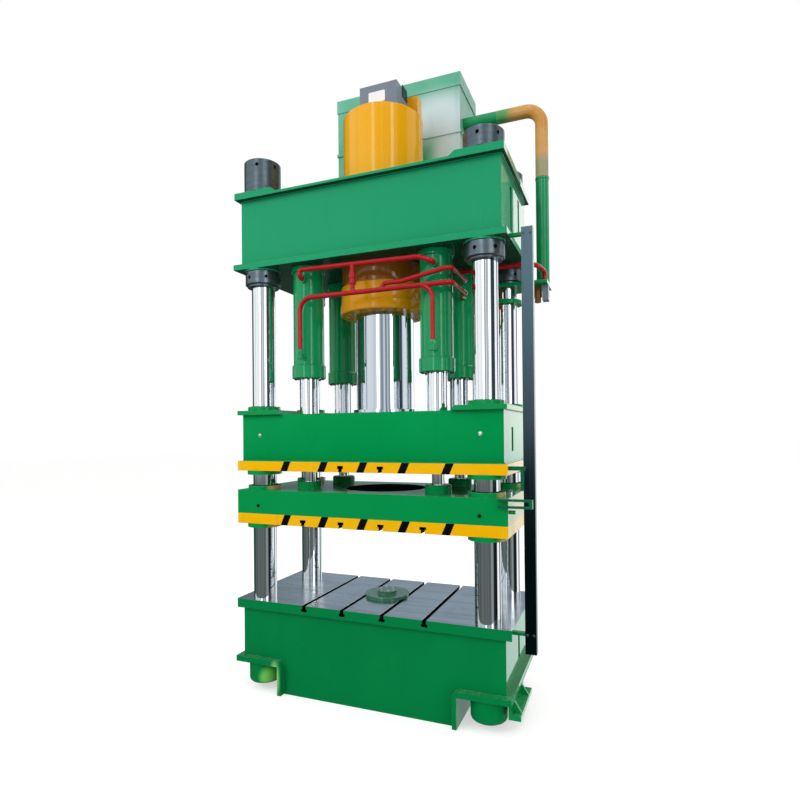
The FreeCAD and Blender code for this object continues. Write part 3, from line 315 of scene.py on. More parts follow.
@dataclass(frozen=True)
class Paint:
    """Sprayed gloss enamel on steel, with paler patches, run-down dirt, rubbed edges and painted light.

    The clear coat weighs side_coat on faces to the right and coat on the rest. A darker colour at the bottom,
    painted light, takes over below the lower of foot_heights, and the side colour paints light and shade on
    faces to the right. Faces that look down get a painted shade, every edge is lifted toward the paler colour
    as a painted highlight that is partly worn paint, and a bore about the Z axis of this radius is bare steel
    darkened by a painted shade. Below matt_below the faces to the right have no more coat than the rest.
    """

    name: str
    colour: str
    faded_and_edge_highlight: str
    rubbed: str
    gloss: float = 0.22
    coat: float = 0.3
    side_coat: float = 1.0
    fading: float = 0.35
    dirt: float = 0.1
    rounding: float = 0.004
    under: float = 0.45
    foot_shade: str = ""
    foot_heights: Tuple[float, float] = (0.9, 3.4)
    side: str = ""
    bore: float = 0.0
    matt_below: float = 0.0
    patches: Tuple[Patch, ...] = ()

    def weight(self, graph: Graph) -> Wire:
        """Weight of the clear coat."""
        right = graph.split(graph.normal())[0].step(0.5, 0.9)
        if self.matt_below:
            right = right * graph.split(graph.point())[2].step(self.matt_below - 0.02, self.matt_below + 0.02)
        return right * (self.side_coat - self.coat) + self.coat

    def base(self, graph: Graph) -> Tuple[Wire, Wire, Wire]:
        """Colour, roughness and normal of the paint film."""
        soft, edge = graph.rounded(self.rounding)
        right, _, up = graph.split(graph.normal())
        x, y, z = graph.split(graph.point())
        cloud = graph.noise(CLOUD_SCALE, detail=4.0, rough=0.6)
        grain = graph.noise(GRAIN_SCALE, detail=5.0, rough=0.65)
        runs = graph.noise(RUN_SCALE, (1.0, 1.0, 0.05), 4.0, 0.6)
        colour = graph.mix(cloud.step(0.38, 0.68) * self.fading, shade(self.colour), shade(self.faded_and_edge_highlight))
        # Painted light: the lower part of a part takes a darker colour (shade under the crown, a reflection
        # gradient on the rail).
        if self.foot_shade:
            colour = graph.mix(z.step(*self.foot_heights), shade(self.foot_shade), colour)
        for patch in self.patches:
            colour = graph.mix(patch.mask(graph, cloud), colour, shade(patch.colour))
        # Painted light and shade on faces to the right: the side colour stands for the glare on some paints and
        # the shade on others.
        if self.side:
            colour = graph.mix(right.step(0.6, 0.9) * 0.85, colour, shade(self.side))
        # Painted shade: faces that look down are darkened toward near black, as far as the under share says.
        colour = graph.mix((up * -1.0).step(0.5, 0.9) * self.under, colour, shade(SHADOW))
        side = 1.0 - abs(up).step(0.2, 0.7)
        colour = graph.mix(runs.step(0.56, 0.78) * side * self.dirt, colour, shade(GRIME), "MULTIPLY")
        colour = graph.mix((up.step(0.7, 1.0) * grain.step(0.35, 0.7)) * 0.16, colour, shade(DUST))
        worn = (edge * grain.step(0.46, 0.62)).both(1.0)
        # Painted highlight along the rounded edges, partly paler worn paint: every edge is lifted toward the
        # paler colour.
        colour = graph.mix(edge * 0.3, colour, shade(self.faded_and_edge_highlight))
        colour = graph.mix(worn * 0.45, colour, shade(self.rubbed))
        # Painted shade: the wall of the bore is bare steel darkened to near black for the shade inside it.
        if self.bore:
            inside = (x * x + y * y < (self.bore + 0.001) ** 2) * side
            colour = graph.mix(inside, colour, shade(BORE_SHADE))
        rough = (self.gloss + cloud * 0.08 + grain * 0.05 + worn * 0.2 + runs.step(0.56, 0.78) * 0.1).held()
        peel = graph.noise(PEEL_SCALE, detail=2.0)
        normal = graph.bump(peel * 0.4 + cloud * 0.6, 0.0005, soft)
        return colour, rough, normal

    def make(self) -> bpy.types.Material:
        """The finished material."""
        material, graph = new_graph(self.name)
        colour, rough, normal = self.base(graph)
        graph.surface(Base_Color=colour, Roughness=rough, Normal=normal,
                      Coat_Weight=self.weight(graph), **COATED)
        return material


@dataclass(frozen=True)
class Metal:
    """Bare, chromed or blackened steel with its tool marks and a painted highlight on its edges."""

    name: str
    colour: str
    stain: str
    rough: float = 0.3
    metallic: float = 1.0
    marks: Point = (1.0, 1.0, 60.0)
    mark_scale: float = 6.0
    mark_depth: float = 0.00004
    staining: float = 0.4
    rounding: float = 0.002
    streaks: float = 0.28
    spread: float = 1.0

    def base(self, graph: Graph) -> Tuple[Wire, Wire, Wire]:
        """Colour, roughness and normal of the metal."""
        soft, edge = graph.rounded(self.rounding)
        lines = graph.noise(self.mark_scale, self.marks, 4.0, 0.7)
        cloud = graph.noise(3.0, detail=4.0, rough=0.6)
        blot = graph.noise(BLOT_SCALE, detail=5.0, rough=0.7)
        colour = graph.mix((cloud.step(0.42, 0.7) * blot.step(0.35, 0.65)) * self.staining,
                           shade(self.colour), shade(self.stain))
        colour = graph.mix(lines.step(0.4, 0.62) * self.streaks, colour, shade(self.stain))
        # Painted highlight: the rounded edges are lifted toward a pale grey.
        colour = graph.mix(edge * 0.35, colour, shade(EDGE_HIGHLIGHT))
        rough = (self.rough + (lines * 0.12 + blot.step(0.5, 0.75) * 0.14) * self.spread).held()
        return colour, rough, graph.bump(lines, self.mark_depth, soft)

    def make(self) -> bpy.types.Material:
        """The finished material."""
        material, graph = new_graph(self.name)
        colour, rough, normal = self.base(graph)
        graph.surface(Base_Color=colour, Roughness=rough, Normal=normal, Metallic=self.metallic)
        return material


@dataclass(frozen=True)
class EdgedPlate:
    """A machined plate whose outer edges are painted, with slanted warning bars on them if asked.

    The bars are black on yellow on the front and back edges, and the ends are yellow too. A plate with no
    warning colour has the body's paint on its edges. Only the face at that height shows the steel: the slot
    walls and the other bare faces get a painted shade, near black and not metallic.
    """

    name: str
    steel: Metal
    paint: Paint
    half_width: float
    half_depth: float
    warning: Optional[Paint] = None
    bar_pitch: float = 0.3025
    bar_width: float = 0.056
    bar_offset: float = 0.015
    bar_slant: float = 0.44
    bar_count: int = 5
    middle: float = 0.0
    face: float = 0.66
    front_rim: float = 0.034
    end_rim: float = 0.03

    def make(self) -> bpy.types.Material:
        """The finished material."""
        material, graph = new_graph(self.name)
        metal, metal_rough, metal_normal = self.steel.base(graph)
        paint, paint_rough, paint_normal = self.paint.base(graph)
        x, y, z = graph.split(graph.point())
        up = graph.split(graph.normal())[2]
        # Painted shade: every face but the one at the face height, the slot walls among them, is near black.
        open_face = abs(z - self.face) < FACE_TOLERANCE
        metal = graph.mix(open_face, shade(SLOT_SHADE), metal)
        metal_rough = metal_rough + (1.0 - open_face) * 0.3
        ends = abs(x) > self.half_width - FACE_TOLERANCE
        long_edges = abs(y) > self.half_depth - FACE_TOLERANCE
        if self.warning is not None:
            yellow, yellow_rough, _ = self.warning.base(graph)
            across = x - (z - self.middle) * self.bar_slant - self.bar_offset + self.bar_pitch / 2
            bar = abs(across.wrap(self.bar_pitch) - self.bar_pitch / 2) < self.bar_width / 2
            bar = bar * (abs(across - self.bar_pitch / 2) < self.bar_pitch * self.bar_count / 2)
            bars = graph.mix(bar, yellow, shade(BAR_BLACK))
            paint = graph.mix(long_edges, graph.mix(ends, paint, yellow), bars)
            rim = (abs(y) > self.half_depth - self.front_rim).either(abs(x) > self.half_width - self.end_rim)
            ledge = up.step(0.5, 0.9) * rim
            skin = ends.either(long_edges).either(ledge)
        else:
            skin = ends.either(long_edges)
        colour = graph.mix(skin, metal, paint)
        rough = metal_rough + (paint_rough - metal_rough) * skin
        graph.surface(Base_Color=colour, Roughness=rough, Normal=paint_normal,
                      Metallic=(1.0 - skin) * open_face * self.steel.metallic,
                      Coat_Weight=skin * self.paint.weight(graph), **COATED)
        return material


GREEN = Paint("green_enamel", "00914a", "089a55", "9fc3ad", dirt=0.04)
# The cream side colour is a painted reflection on the slide's right-hand faces; the bore gets a painted shade.
LOWER_GREEN = replace(GREEN, name="lower_enamel", colour="009048", faded_and_edge_highlight="069852", side="cdb26a", bore=0.3)
SHEET_GREEN = replace(GREEN, name="sheet_enamel", coat=0.0, rounding=0.0002)
BARREL_GREEN = Paint("barrel_enamel", "059255", "2aa571", "b5d8c5", gloss=0.16, coat=1.0)
# A lighter copy of the green paint, painted light on the crown, with a strong painted shade on its underside.
CROWN_GREEN = Paint("crown_enamel", "1d9a68", "219d6a", "b9d6c6", fading=0.2, dirt=0.03, under=0.85)
# A darker copy of the green paint, painted shade on the low frame; its two patches are painted highlights on
# the front-left leg flange and foot nut.
BED_GREEN = Paint("bed_enamel", "008044", "008948", "9cc0aa", fading=0.6, dirt=0.06, matt_below=0.22,
                  patches=(Patch((-0.686, -0.48, 0.11), (0.05, 0.08, 0.17), "9fe88c", 0.9),
                           Patch((-0.765, -0.44, 0.1), (0.08, 0.13, 0.09), "7fdc62", 0.85)))
DARK_GREEN = Paint("dark_green_enamel", "045f3e", "1b7a55", "8aa89a", gloss=0.3)
# The darker side colour is painted shade on the tank's right-hand faces; the three patches paint the
# reflections on its front, two pale and one deep green.
TANK_GREEN = Paint("tank_enamel", "5fb295", "8cc9b5", "d5e2dc", gloss=0.2, coat=0.5, side_coat=0.12,
                   fading=0.7, under=0.2, side="4f9079", patches=(
                       Patch((0.3, 0.32, 4.36), (0.42, 0.3, 0.27), "cfe2e6", 0.95),
                       Patch((0.1, 0.32, 4.0), (0.2, 0.3, 0.26), "0d9a5b", 0.9),
                       Patch((0.42, 0.32, 4.02), (0.2, 0.3, 0.4), "d9e6ec", 0.9)))
# Below the crown the darker lower colour is a painted shade: the barrel's brown in the crown's shade.
CYLINDER_YELLOW = Paint("cylinder_enamel", "f0aa04", "f6b62a", "f6e3b4", gloss=0.18, coat=1.0, dirt=0.05,
                        under=0.2, foot_shade="8a5414", foot_heights=(3.1, 3.2))
# A darker copy of the cylinder's yellow: painted shade on the gland under the crown.
GLAND_YELLOW = Paint("gland_enamel", "dc980c", "e2a524", "f6e3b4", gloss=0.18, coat=0.6, dirt=0.1, under=0.3)
WARNING_YELLOW = Paint("warning_enamel", "f5b900", "f6c22a", "e8dcae", gloss=0.3, dirt=0.08)
PIPE_OCHRE = Paint("pipe_ochre", "cb9144", "dcae76", "cfcabb", gloss=0.3, coat=0.7, fading=0.8, dirt=0.4,
                   rounding=0.002, patches=(Patch((0.78, 0.44, 4.32), (0.16, 0.2, 0.2), "2f9a5c", 0.9),
                                            Patch((1.11, 0.44, 3.86), (0.2, 0.2, 0.14), "8c9a80", 0.8)))
PIPE_GREEN = Paint("pipe_green", "0a8f54", "3fa07a", "b5d8c5", gloss=0.16, coat=1.0, fading=0.6)
PIPE_RED = Paint("pipe_red", "aa141f", "c02a30", "e6a9a3", gloss=0.2, coat=0.9, rounding=0.002)
BOX_GREY = Paint("box_grey", "77828f", "8b96a3", "b9c1c8", gloss=0.3, side_coat=0.3, rounding=0.003)
# The darker lower colour is a painted reflection gradient: near black at the bottom, grey-blue at the top.
RAIL_DARK = Paint("rail_dark", "587684", "5d7b88", "83949a", gloss=0.25, coat=0.15, side_coat=0.5,
                  rounding=0.002, foot_shade="000a0b", foot_heights=(1.1, 3.5))
LABEL_WHITE = Paint("label_white", "f2f5fa", "f7f8f8", "c9cacc", gloss=0.4, coat=0.0, side_coat=0.0, dirt=0.1,
                    rounding=0.001)
BLACK_PAINT = Paint("black_enamel", "14181a", "23292c", "5d666a", gloss=0.4, rounding=0.001)
SEAL_BLACK = Paint("seal_rubber", "16191b", "23282b", "3c4447", gloss=0.55, coat=0.0, side_coat=0.0,
                   rounding=0.001)
COVER_GREEN = Paint("cover_enamel", "2c7154", "5a8f7c", "d8cf9e", gloss=0.2, coat=1.0, fading=0.7,
                    rounding=0.007)

CHROME = Metal("column_chrome", "e4e8eb", "b4bcc0", rough=0.03, marks=(1.0, 1.0, 40.0), mark_scale=8.0,
               mark_depth=0.000002, staining=0.06, streaks=0.04, spread=0.25)
ROD_CHROME = replace(CHROME, name="rod_chrome", colour="e2e5e8", marks=(1.0, 1.0, 30.0), mark_scale=9.0)
RAM_CHROME = replace(ROD_CHROME, name="ram_chrome", colour="c3ccd4", stain="98a2a9")
NUT_BLACK = Metal("crown_nut_steel", "5a696f", "364146", rough=0.3, metallic=0.8, marks=(1.0, 1.0, 8.0))
NUT_GREY = replace(NUT_BLACK, name="shoulder_nut_steel", colour="66737a", stain="39444a", rough=0.26,
                   metallic=0.85)
TABLE_STEEL = Metal("table_steel", "c0c8ce", "79858d", rough=0.13, metallic=0.95, marks=(0.06, 1.0, 1.0),
                    mark_scale=16.0, mark_depth=0.00004, staining=0.35, spread=0.7)
SCREW_STEEL = Metal("screw_steel", "596267", "32393c", rough=0.34, marks=(1.0, 1.0, 1.0), mark_scale=90.0,
                    rounding=0.0008)
BRIGHT_STEEL = replace(SCREW_STEEL, name="bright_steel", colour="e3e6e8", stain="a9afb2", rough=0.2,
                       rounding=0.001)

UPPER_PLATE = EdgedPlate("upper_plate_finish", TABLE_STEEL, GREEN, 1.005, 0.456, WARNING_YELLOW, middle=1.645,
                         face=1.61)
LOWER_PLATE = replace(UPPER_PLATE, name="lower_plate_finish", middle=1.2595, face=1.222)
BED_PLATE = EdgedPlate("bed_plate_finish", TABLE_STEEL, BED_GREEN, 1.02, 0.45)

Finish = Union[Paint, Metal, EdgedPlate]
_made: Dict[str, bpy.types.Material] = {}


def material_of(finish: Finish) -> bpy.types.Material:
    """The material of a finish, made once."""
    if finish.name not in _made:
        _made[finish.name] = finish.make()
    return _made[finish.name]


SIGNS = {"front_left": (-1, -1), "front_right": (1, -1), "rear_left": (-1, 1), "rear_right": (1, 1)}


def at_corners(*stems: str) -> Tuple[str, ...]:
    """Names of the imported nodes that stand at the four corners."""
    return tuple(stem + corner for stem in stems for corner in SIGNS)


DRESS: Sequence[Tuple[Finish, Sequence[str]]] = (
    (BED_GREEN, ("bed_weldment", "foot_nuts", "rail_bars")),
    (GREEN, ("side_bracket", "pipe_shelf", "column_clamp", "rod_flanges", "upper_slide", "upper_guide_bushes",
             "upper_wiper_rings")),
    (LOWER_GREEN, ("lower_slide", "lower_guide_bushes", "lower_wiper_rings")),
    (BED_PLATE, ("bed_plate",)), (UPPER_PLATE, ("upper_slide_plate",)), (LOWER_PLATE, ("lower_slide_plate",)),
    (COVER_GREEN, ("centre_cover",)), (BRIGHT_STEEL, ("cover_screws",)),
    (CROWN_GREEN, ("crown_weldment",)), (NUT_BLACK, at_corners("crown_nut_")), (NUT_GREY, ("shoulder_nuts",)),
    (CHROME, at_corners("column_")), (RAM_CHROME, ("ram",)), (ROD_CHROME, at_corners("holder_rod_")),
    (CYLINDER_YELLOW, ("main_cylinder", "filling_block", "feed_fitting")), (GLAND_YELLOW, ("main_gland",)),
    (BARREL_GREEN, at_corners("holder_barrel_", "holder_gland_")), (BOX_GREY, ("valve_box", "feed_block")),
    (TANK_GREEN, ("oil_tank", "tank_lid", "tank_pedestal")), (PIPE_GREEN, ("tank_pipe_stub", "tank_pipe_drop")),
    (PIPE_OCHRE, ("tank_pipe_bend",)),
    (PIPE_RED, ("upper_oil_line", "lower_oil_line", "rear_oil_line", "line_union")),
    (RAIL_DARK, ("switch_rail",)), (DARK_GREEN, ("upper_switch_arm", "lower_switch_fork")))


def dress() -> None:
    """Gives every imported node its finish."""
    for finish, nodes in DRESS:
        for node in nodes:
            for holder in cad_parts[node].material_slots:
                holder.material = material_of(finish)


# ----------------------------------------------------------------------------------------- modelling
class Bench:
    """Modelling with operators. Each step starts with nothing selected."""

    @staticmethod
    def clear() -> None:
        """Object mode with nothing selected."""
        if bpy.context.object is not None and bpy.context.object.mode != "OBJECT":
            bpy.ops.object.mode_set(mode="OBJECT")
        bpy.ops.object.select_all(action="DESELECT")

    @classmethod
    def only(cls, *pieces: Piece) -> None:
        """Selects these pieces, the first one active."""
        cls.clear()
        for piece in pieces:
            piece.select_set(True)
        bpy.context.view_layer.objects.active = pieces[0]

    @classmethod
    def start(cls, add: Callable[..., Any], name: str, **options: Any) -> Piece:
        """Adds a primitive.

        Args:
            add: The operator.
            name: The piece's name.
            options: The operator's options.

        Returns:
            The new piece.
        """
        cls.clear()
        add(**options)
        piece = bpy.context.active_object
        piece.name = piece.data.name = name
        return piece

    @classmethod
    def faces(cls, piece: Piece, test: Callable[[Vector, Vector], bool]) -> None:
        """Enters edit mode with the faces selected whose centre and normal pass the test."""
        cls.only(piece)
        bpy.ops.object.mode_set(mode="EDIT")
        bpy.ops.mesh.select_mode(type="FACE")
        bpy.ops.mesh.select_all(action="DESELECT")
        bpy.ops.object.mode_set(mode="OBJECT")
        for face in piece.data.polygons:
            face.select = test(face.center, face.normal)
        bpy.ops.object.mode_set(mode="EDIT")

    @classmethod
    def edges(cls, piece: Piece, test: Callable[[Vector], bool]) -> None:
        """Enters edit mode with the edges selected whose run from end to end passes the test."""
        cls.faces(piece, lambda centre, normal: False)
        bpy.ops.object.mode_set(mode="OBJECT")
        for edge in piece.data.edges:
            start, end = (piece.data.vertices[i].co for i in edge.vertices)
            edge.select = test(end - start)
        bpy.ops.object.mode_set(mode="EDIT")
        bpy.ops.mesh.select_mode(type="EDGE")

    @classmethod
    def bake(cls, piece: Piece) -> None:
        """Moves a piece's place, turn and size into its mesh."""
        cls.only(piece)
        bpy.ops.object.transform_apply(location=True, rotation=True, scale=True)

    @classmethod
    def modify(cls, piece: Piece, kind: str, **settings: Any) -> None:
        """Adds a modifier and applies it."""
        cls.only(piece)
        modifier = piece.modifiers.new(kind.lower(), kind)
        for name, value in settings.items():
            setattr(modifier, name, value)
        bpy.ops.object.modifier_apply(modifier=modifier.name)

    @classmethod
    def cut(cls, piece: Piece, cutter: Piece) -> None:
        """Takes the cutter's shape out of the piece, and the cutter away."""
        cls.modify(piece, "BOOLEAN", operation="DIFFERENCE", solver="EXACT", object=cutter)
        cls.drop(cutter)

    @classmethod
    def drop(cls, piece: Piece) -> None:
        """Removes a helper piece."""
        cls.only(piece)
        bpy.ops.object.delete()

    @classmethod
    def join(cls, pieces: Sequence[Piece], name: str) -> Piece:
        """One piece of several, under a new name."""
        cls.only(*pieces)
        if len(pieces) > 1:
            bpy.ops.object.join()
        piece = bpy.context.active_object
        piece.name = piece.data.name = name
        return piece

    @classmethod
    def spread(cls, master: Piece, places: Sequence[Matrix], name: str) -> Piece:
        """Copies a piece to places, each copy with its own mesh, and joins them.

        Args:
            master: The piece to copy, which is removed.
            places: Where each copy's origin and axes go.
            name: Name of the joined piece.

        Returns:
            The joined piece.
        """
        copies: List[Piece] = []
        for place in places:
            cls.only(master)
            bpy.ops.object.duplicate(linked=False)
            copy = bpy.context.active_object
            copy.matrix_world = place @ master.matrix_world
            copies.append(copy)
        cls.drop(master)
        return cls.join(copies, name)

    @classmethod
    def finish(cls, piece: Piece, finish: Finish, body: Body, slot: str, angle: float = 35.0) -> Piece:
        """Places a piece's mesh, gives it its finish and lets it ride on its body."""
        cls.bake(piece)
        bpy.ops.object.shade_smooth_by_angle(angle=math.radians(angle))
        piece.data.materials.clear()
        piece.data.materials.append(material_of(finish))
        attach(piece, body.value)
        LOG.info("%s: %d faces on %s", piece.name, len(piece.data.polygons), body.value)
        return piece


@dataclass
class ScrewRing:
    """Socket head screws on a circle.

    The heads stand on the plane through the centre, square to the facing.
    """

    centre: Point
    circle: float
    count: int
    head: float
    height: float
    facing: Facing = Facing.UP
    turn: float = 0.0

    def places(self) -> List[Matrix]:
        """Where each head stands."""
        base = Matrix.Translation(self.centre) @ self.facing.turn()
        found = []
        for index in range(self.count):
            angle = self.turn + index * math.tau / self.count
            found.append(base @ Matrix.Rotation(angle, 4, "Z") @ Matrix.Translation((self.circle, 0.0, 0.0)))
        return found


def socket_screw(head: float, height: float) -> Piece:
    """A screw head with a chamfered rim, a washer and a hexagon socket, standing on z = 0.

    Args:
        head: Radius of the head.
        height: Height of the head.

    Returns:
        The head.
    """
    screw = Bench.start(bpy.ops.mesh.primitive_cylinder_add, "screw", vertices=18, radius=head * 1.3,
                        depth=height * 0.2, location=(0, 0, height * 0.1))
    Bench.bake(screw)
    Bench.faces(screw, lambda centre, normal: normal.z > 0.9)
    bpy.ops.mesh.inset(thickness=head * 0.3)
    bpy.ops.mesh.extrude_region_move(TRANSFORM_OT_translate={"value": (0, 0, height * 0.66)})
    bpy.ops.mesh.extrude_region_move(TRANSFORM_OT_translate={"value": (0, 0, height * 0.14)})
    bpy.ops.transform.resize(value=(0.86, 0.86, 1.0))
    Bench.clear()
    cutter = Bench.start(bpy.ops.mesh.primitive_cylinder_add, "socket", vertices=6, radius=head * 0.5,
                         depth=height, location=(0, 0, height))
    Bench.cut(screw, cutter)
    return screw


def screws(name: str, body: Body, rings: Sequence[ScrewRing], slot: str = "blackened_steel",
           finish: Finish = SCREW_STEEL) -> Piece:
    """One piece of all the screws on some rings of the same screw size."""
    master = socket_screw(rings[0].head, rings[0].height)
    places = [place for ring in rings for place in ring.places()]
    return Bench.finish(Bench.spread(master, places, name), finish, body, slot)


def turned_ring(name: str, profile: Sequence[Tuple[float, float]], sides: int = 48) -> Piece:
    """A ring turned about Z from a closed outline.

    Args:
        name: The piece's name.
        profile: Radius and height of the outline's corners, in order.
        sides: Steps of the turn.

    Returns:
        The ring, about the Z axis.
    """
    ring = Bench.start(bpy.ops.mesh.primitive_circle_add, name, vertices=len(profile), radius=1.0)
    for vertex, (radius, height) in zip(ring.data.vertices, profile):
        vertex.co = (radius, 0.0, height)
    Bench.only(ring)
    bpy.ops.object.mode_set(mode="EDIT")
    bpy.ops.mesh.select_mode(type="VERT")
    bpy.ops.mesh.select_all(action="SELECT")
    bpy.ops.mesh.spin(steps=sides, angle=math.tau, center=(0, 0, 0), axis=(0, 0, 1))
    bpy.ops.mesh.select_all(action="SELECT")
    bpy.ops.mesh.remove_doubles(threshold=0.00002)
    bpy.ops.mesh.normals_make_consistent(inside=False)
    Bench.clear()
    return ring


def hex_nut(name: str, flats: float, height: float, bore: float) -> Piece:
    """A hexagon nut with chamfered corners and a collar, bored through, standing on z = 0.

    Args:
        name: The piece's name.
        flats: Width over the flats.
        height: Height with the collar.
        bore: Radius of the bore.

    Returns:
        The nut.
    """
    nut = Bench.start(bpy.ops.mesh.primitive_cylinder_add, name, vertices=6, radius=flats / math.sqrt(3.0),
                      depth=height * 0.7, location=(0, 0, height * 0.35))
    Bench.bake(nut)
    Bench.modify(nut, "BEVEL", width=flats * 0.03, segments=2, limit_method="ANGLE",
                 angle_limit=math.radians(50))
    Bench.faces(nut, lambda centre, normal: normal.z > 0.98)
    bpy.ops.mesh.inset(thickness=flats * 0.07)
    bpy.ops.mesh.extrude_region_move(TRANSFORM_OT_translate={"value": (0, 0, height * 0.3)})
    bpy.ops.transform.resize(value=(0.92, 0.92, 1.0))
    Bench.clear()
    hole = Bench.start(bpy.ops.mesh.primitive_cylinder_add, "bore", vertices=32, radius=bore, depth=height * 3)
    Bench.cut(nut, hole)
    return nut


@dataclass
class Bead:
    """A weld bead along an edge from one corner to another, in metres."""

    start: Point
    end: Point
    size: float = 0.007

    def build(self) -> Piece:
        """A rippled round bead with domed ends."""
        first, last = Vector(self.start), Vector(self.end)
        run = last - first
        steps = max(8, int(run.length / RIPPLE_STEP))
        bead = Bench.start(bpy.ops.mesh.primitive_cylinder_add, "bead", vertices=8, radius=self.size,
                           depth=run.length, end_fill_type="NGON")
        Bench.edges(bead, lambda along: abs(along.z) > run.length * 0.5)
        bpy.ops.mesh.subdivide(number_cuts=steps)
        Bench.clear()
        for vertex in bead.data.vertices:
            ripple = math.sin(vertex.co.z / RIPPLE_STEP * math.tau * 0.37)
            wave = 1.0 + 0.09 * ripple + 0.05 * math.sin(vertex.co.z * 91.0)
            if abs(vertex.co.z) > run.length / 2 - 1e-5:
                wave *= 0.5
            vertex.co.x *= wave
            vertex.co.y *= wave
        turn = Vector((0, 0, 1)).rotation_difference(run).to_matrix().to_4x4()
        bead.matrix_world = Matrix.Translation((first + last) / 2) @ turn
        return bead


def seams(name: str, body: Body, beads: Sequence[Bead], finish: Finish, slot: str = "green_paint") -> Piece:
    """One piece of several weld beads."""
    piece = Bench.join([bead.build() for bead in beads], name)
    return Bench.finish(piece, finish, body, slot, angle=60.0)


def outline_beads(half_x: float, half_y: float, z: float, size: float = 0.007) -> List[Bead]:
    """Beads round a box of this half width and half depth, at one height."""
    corners = [(-half_x, -half_y, z), (half_x, -half_y, z), (half_x, half_y, z), (-half_x, half_y, z)]
    return [Bead(a, b, size) for a, b in zip(corners, corners[1:] + corners[:1])]


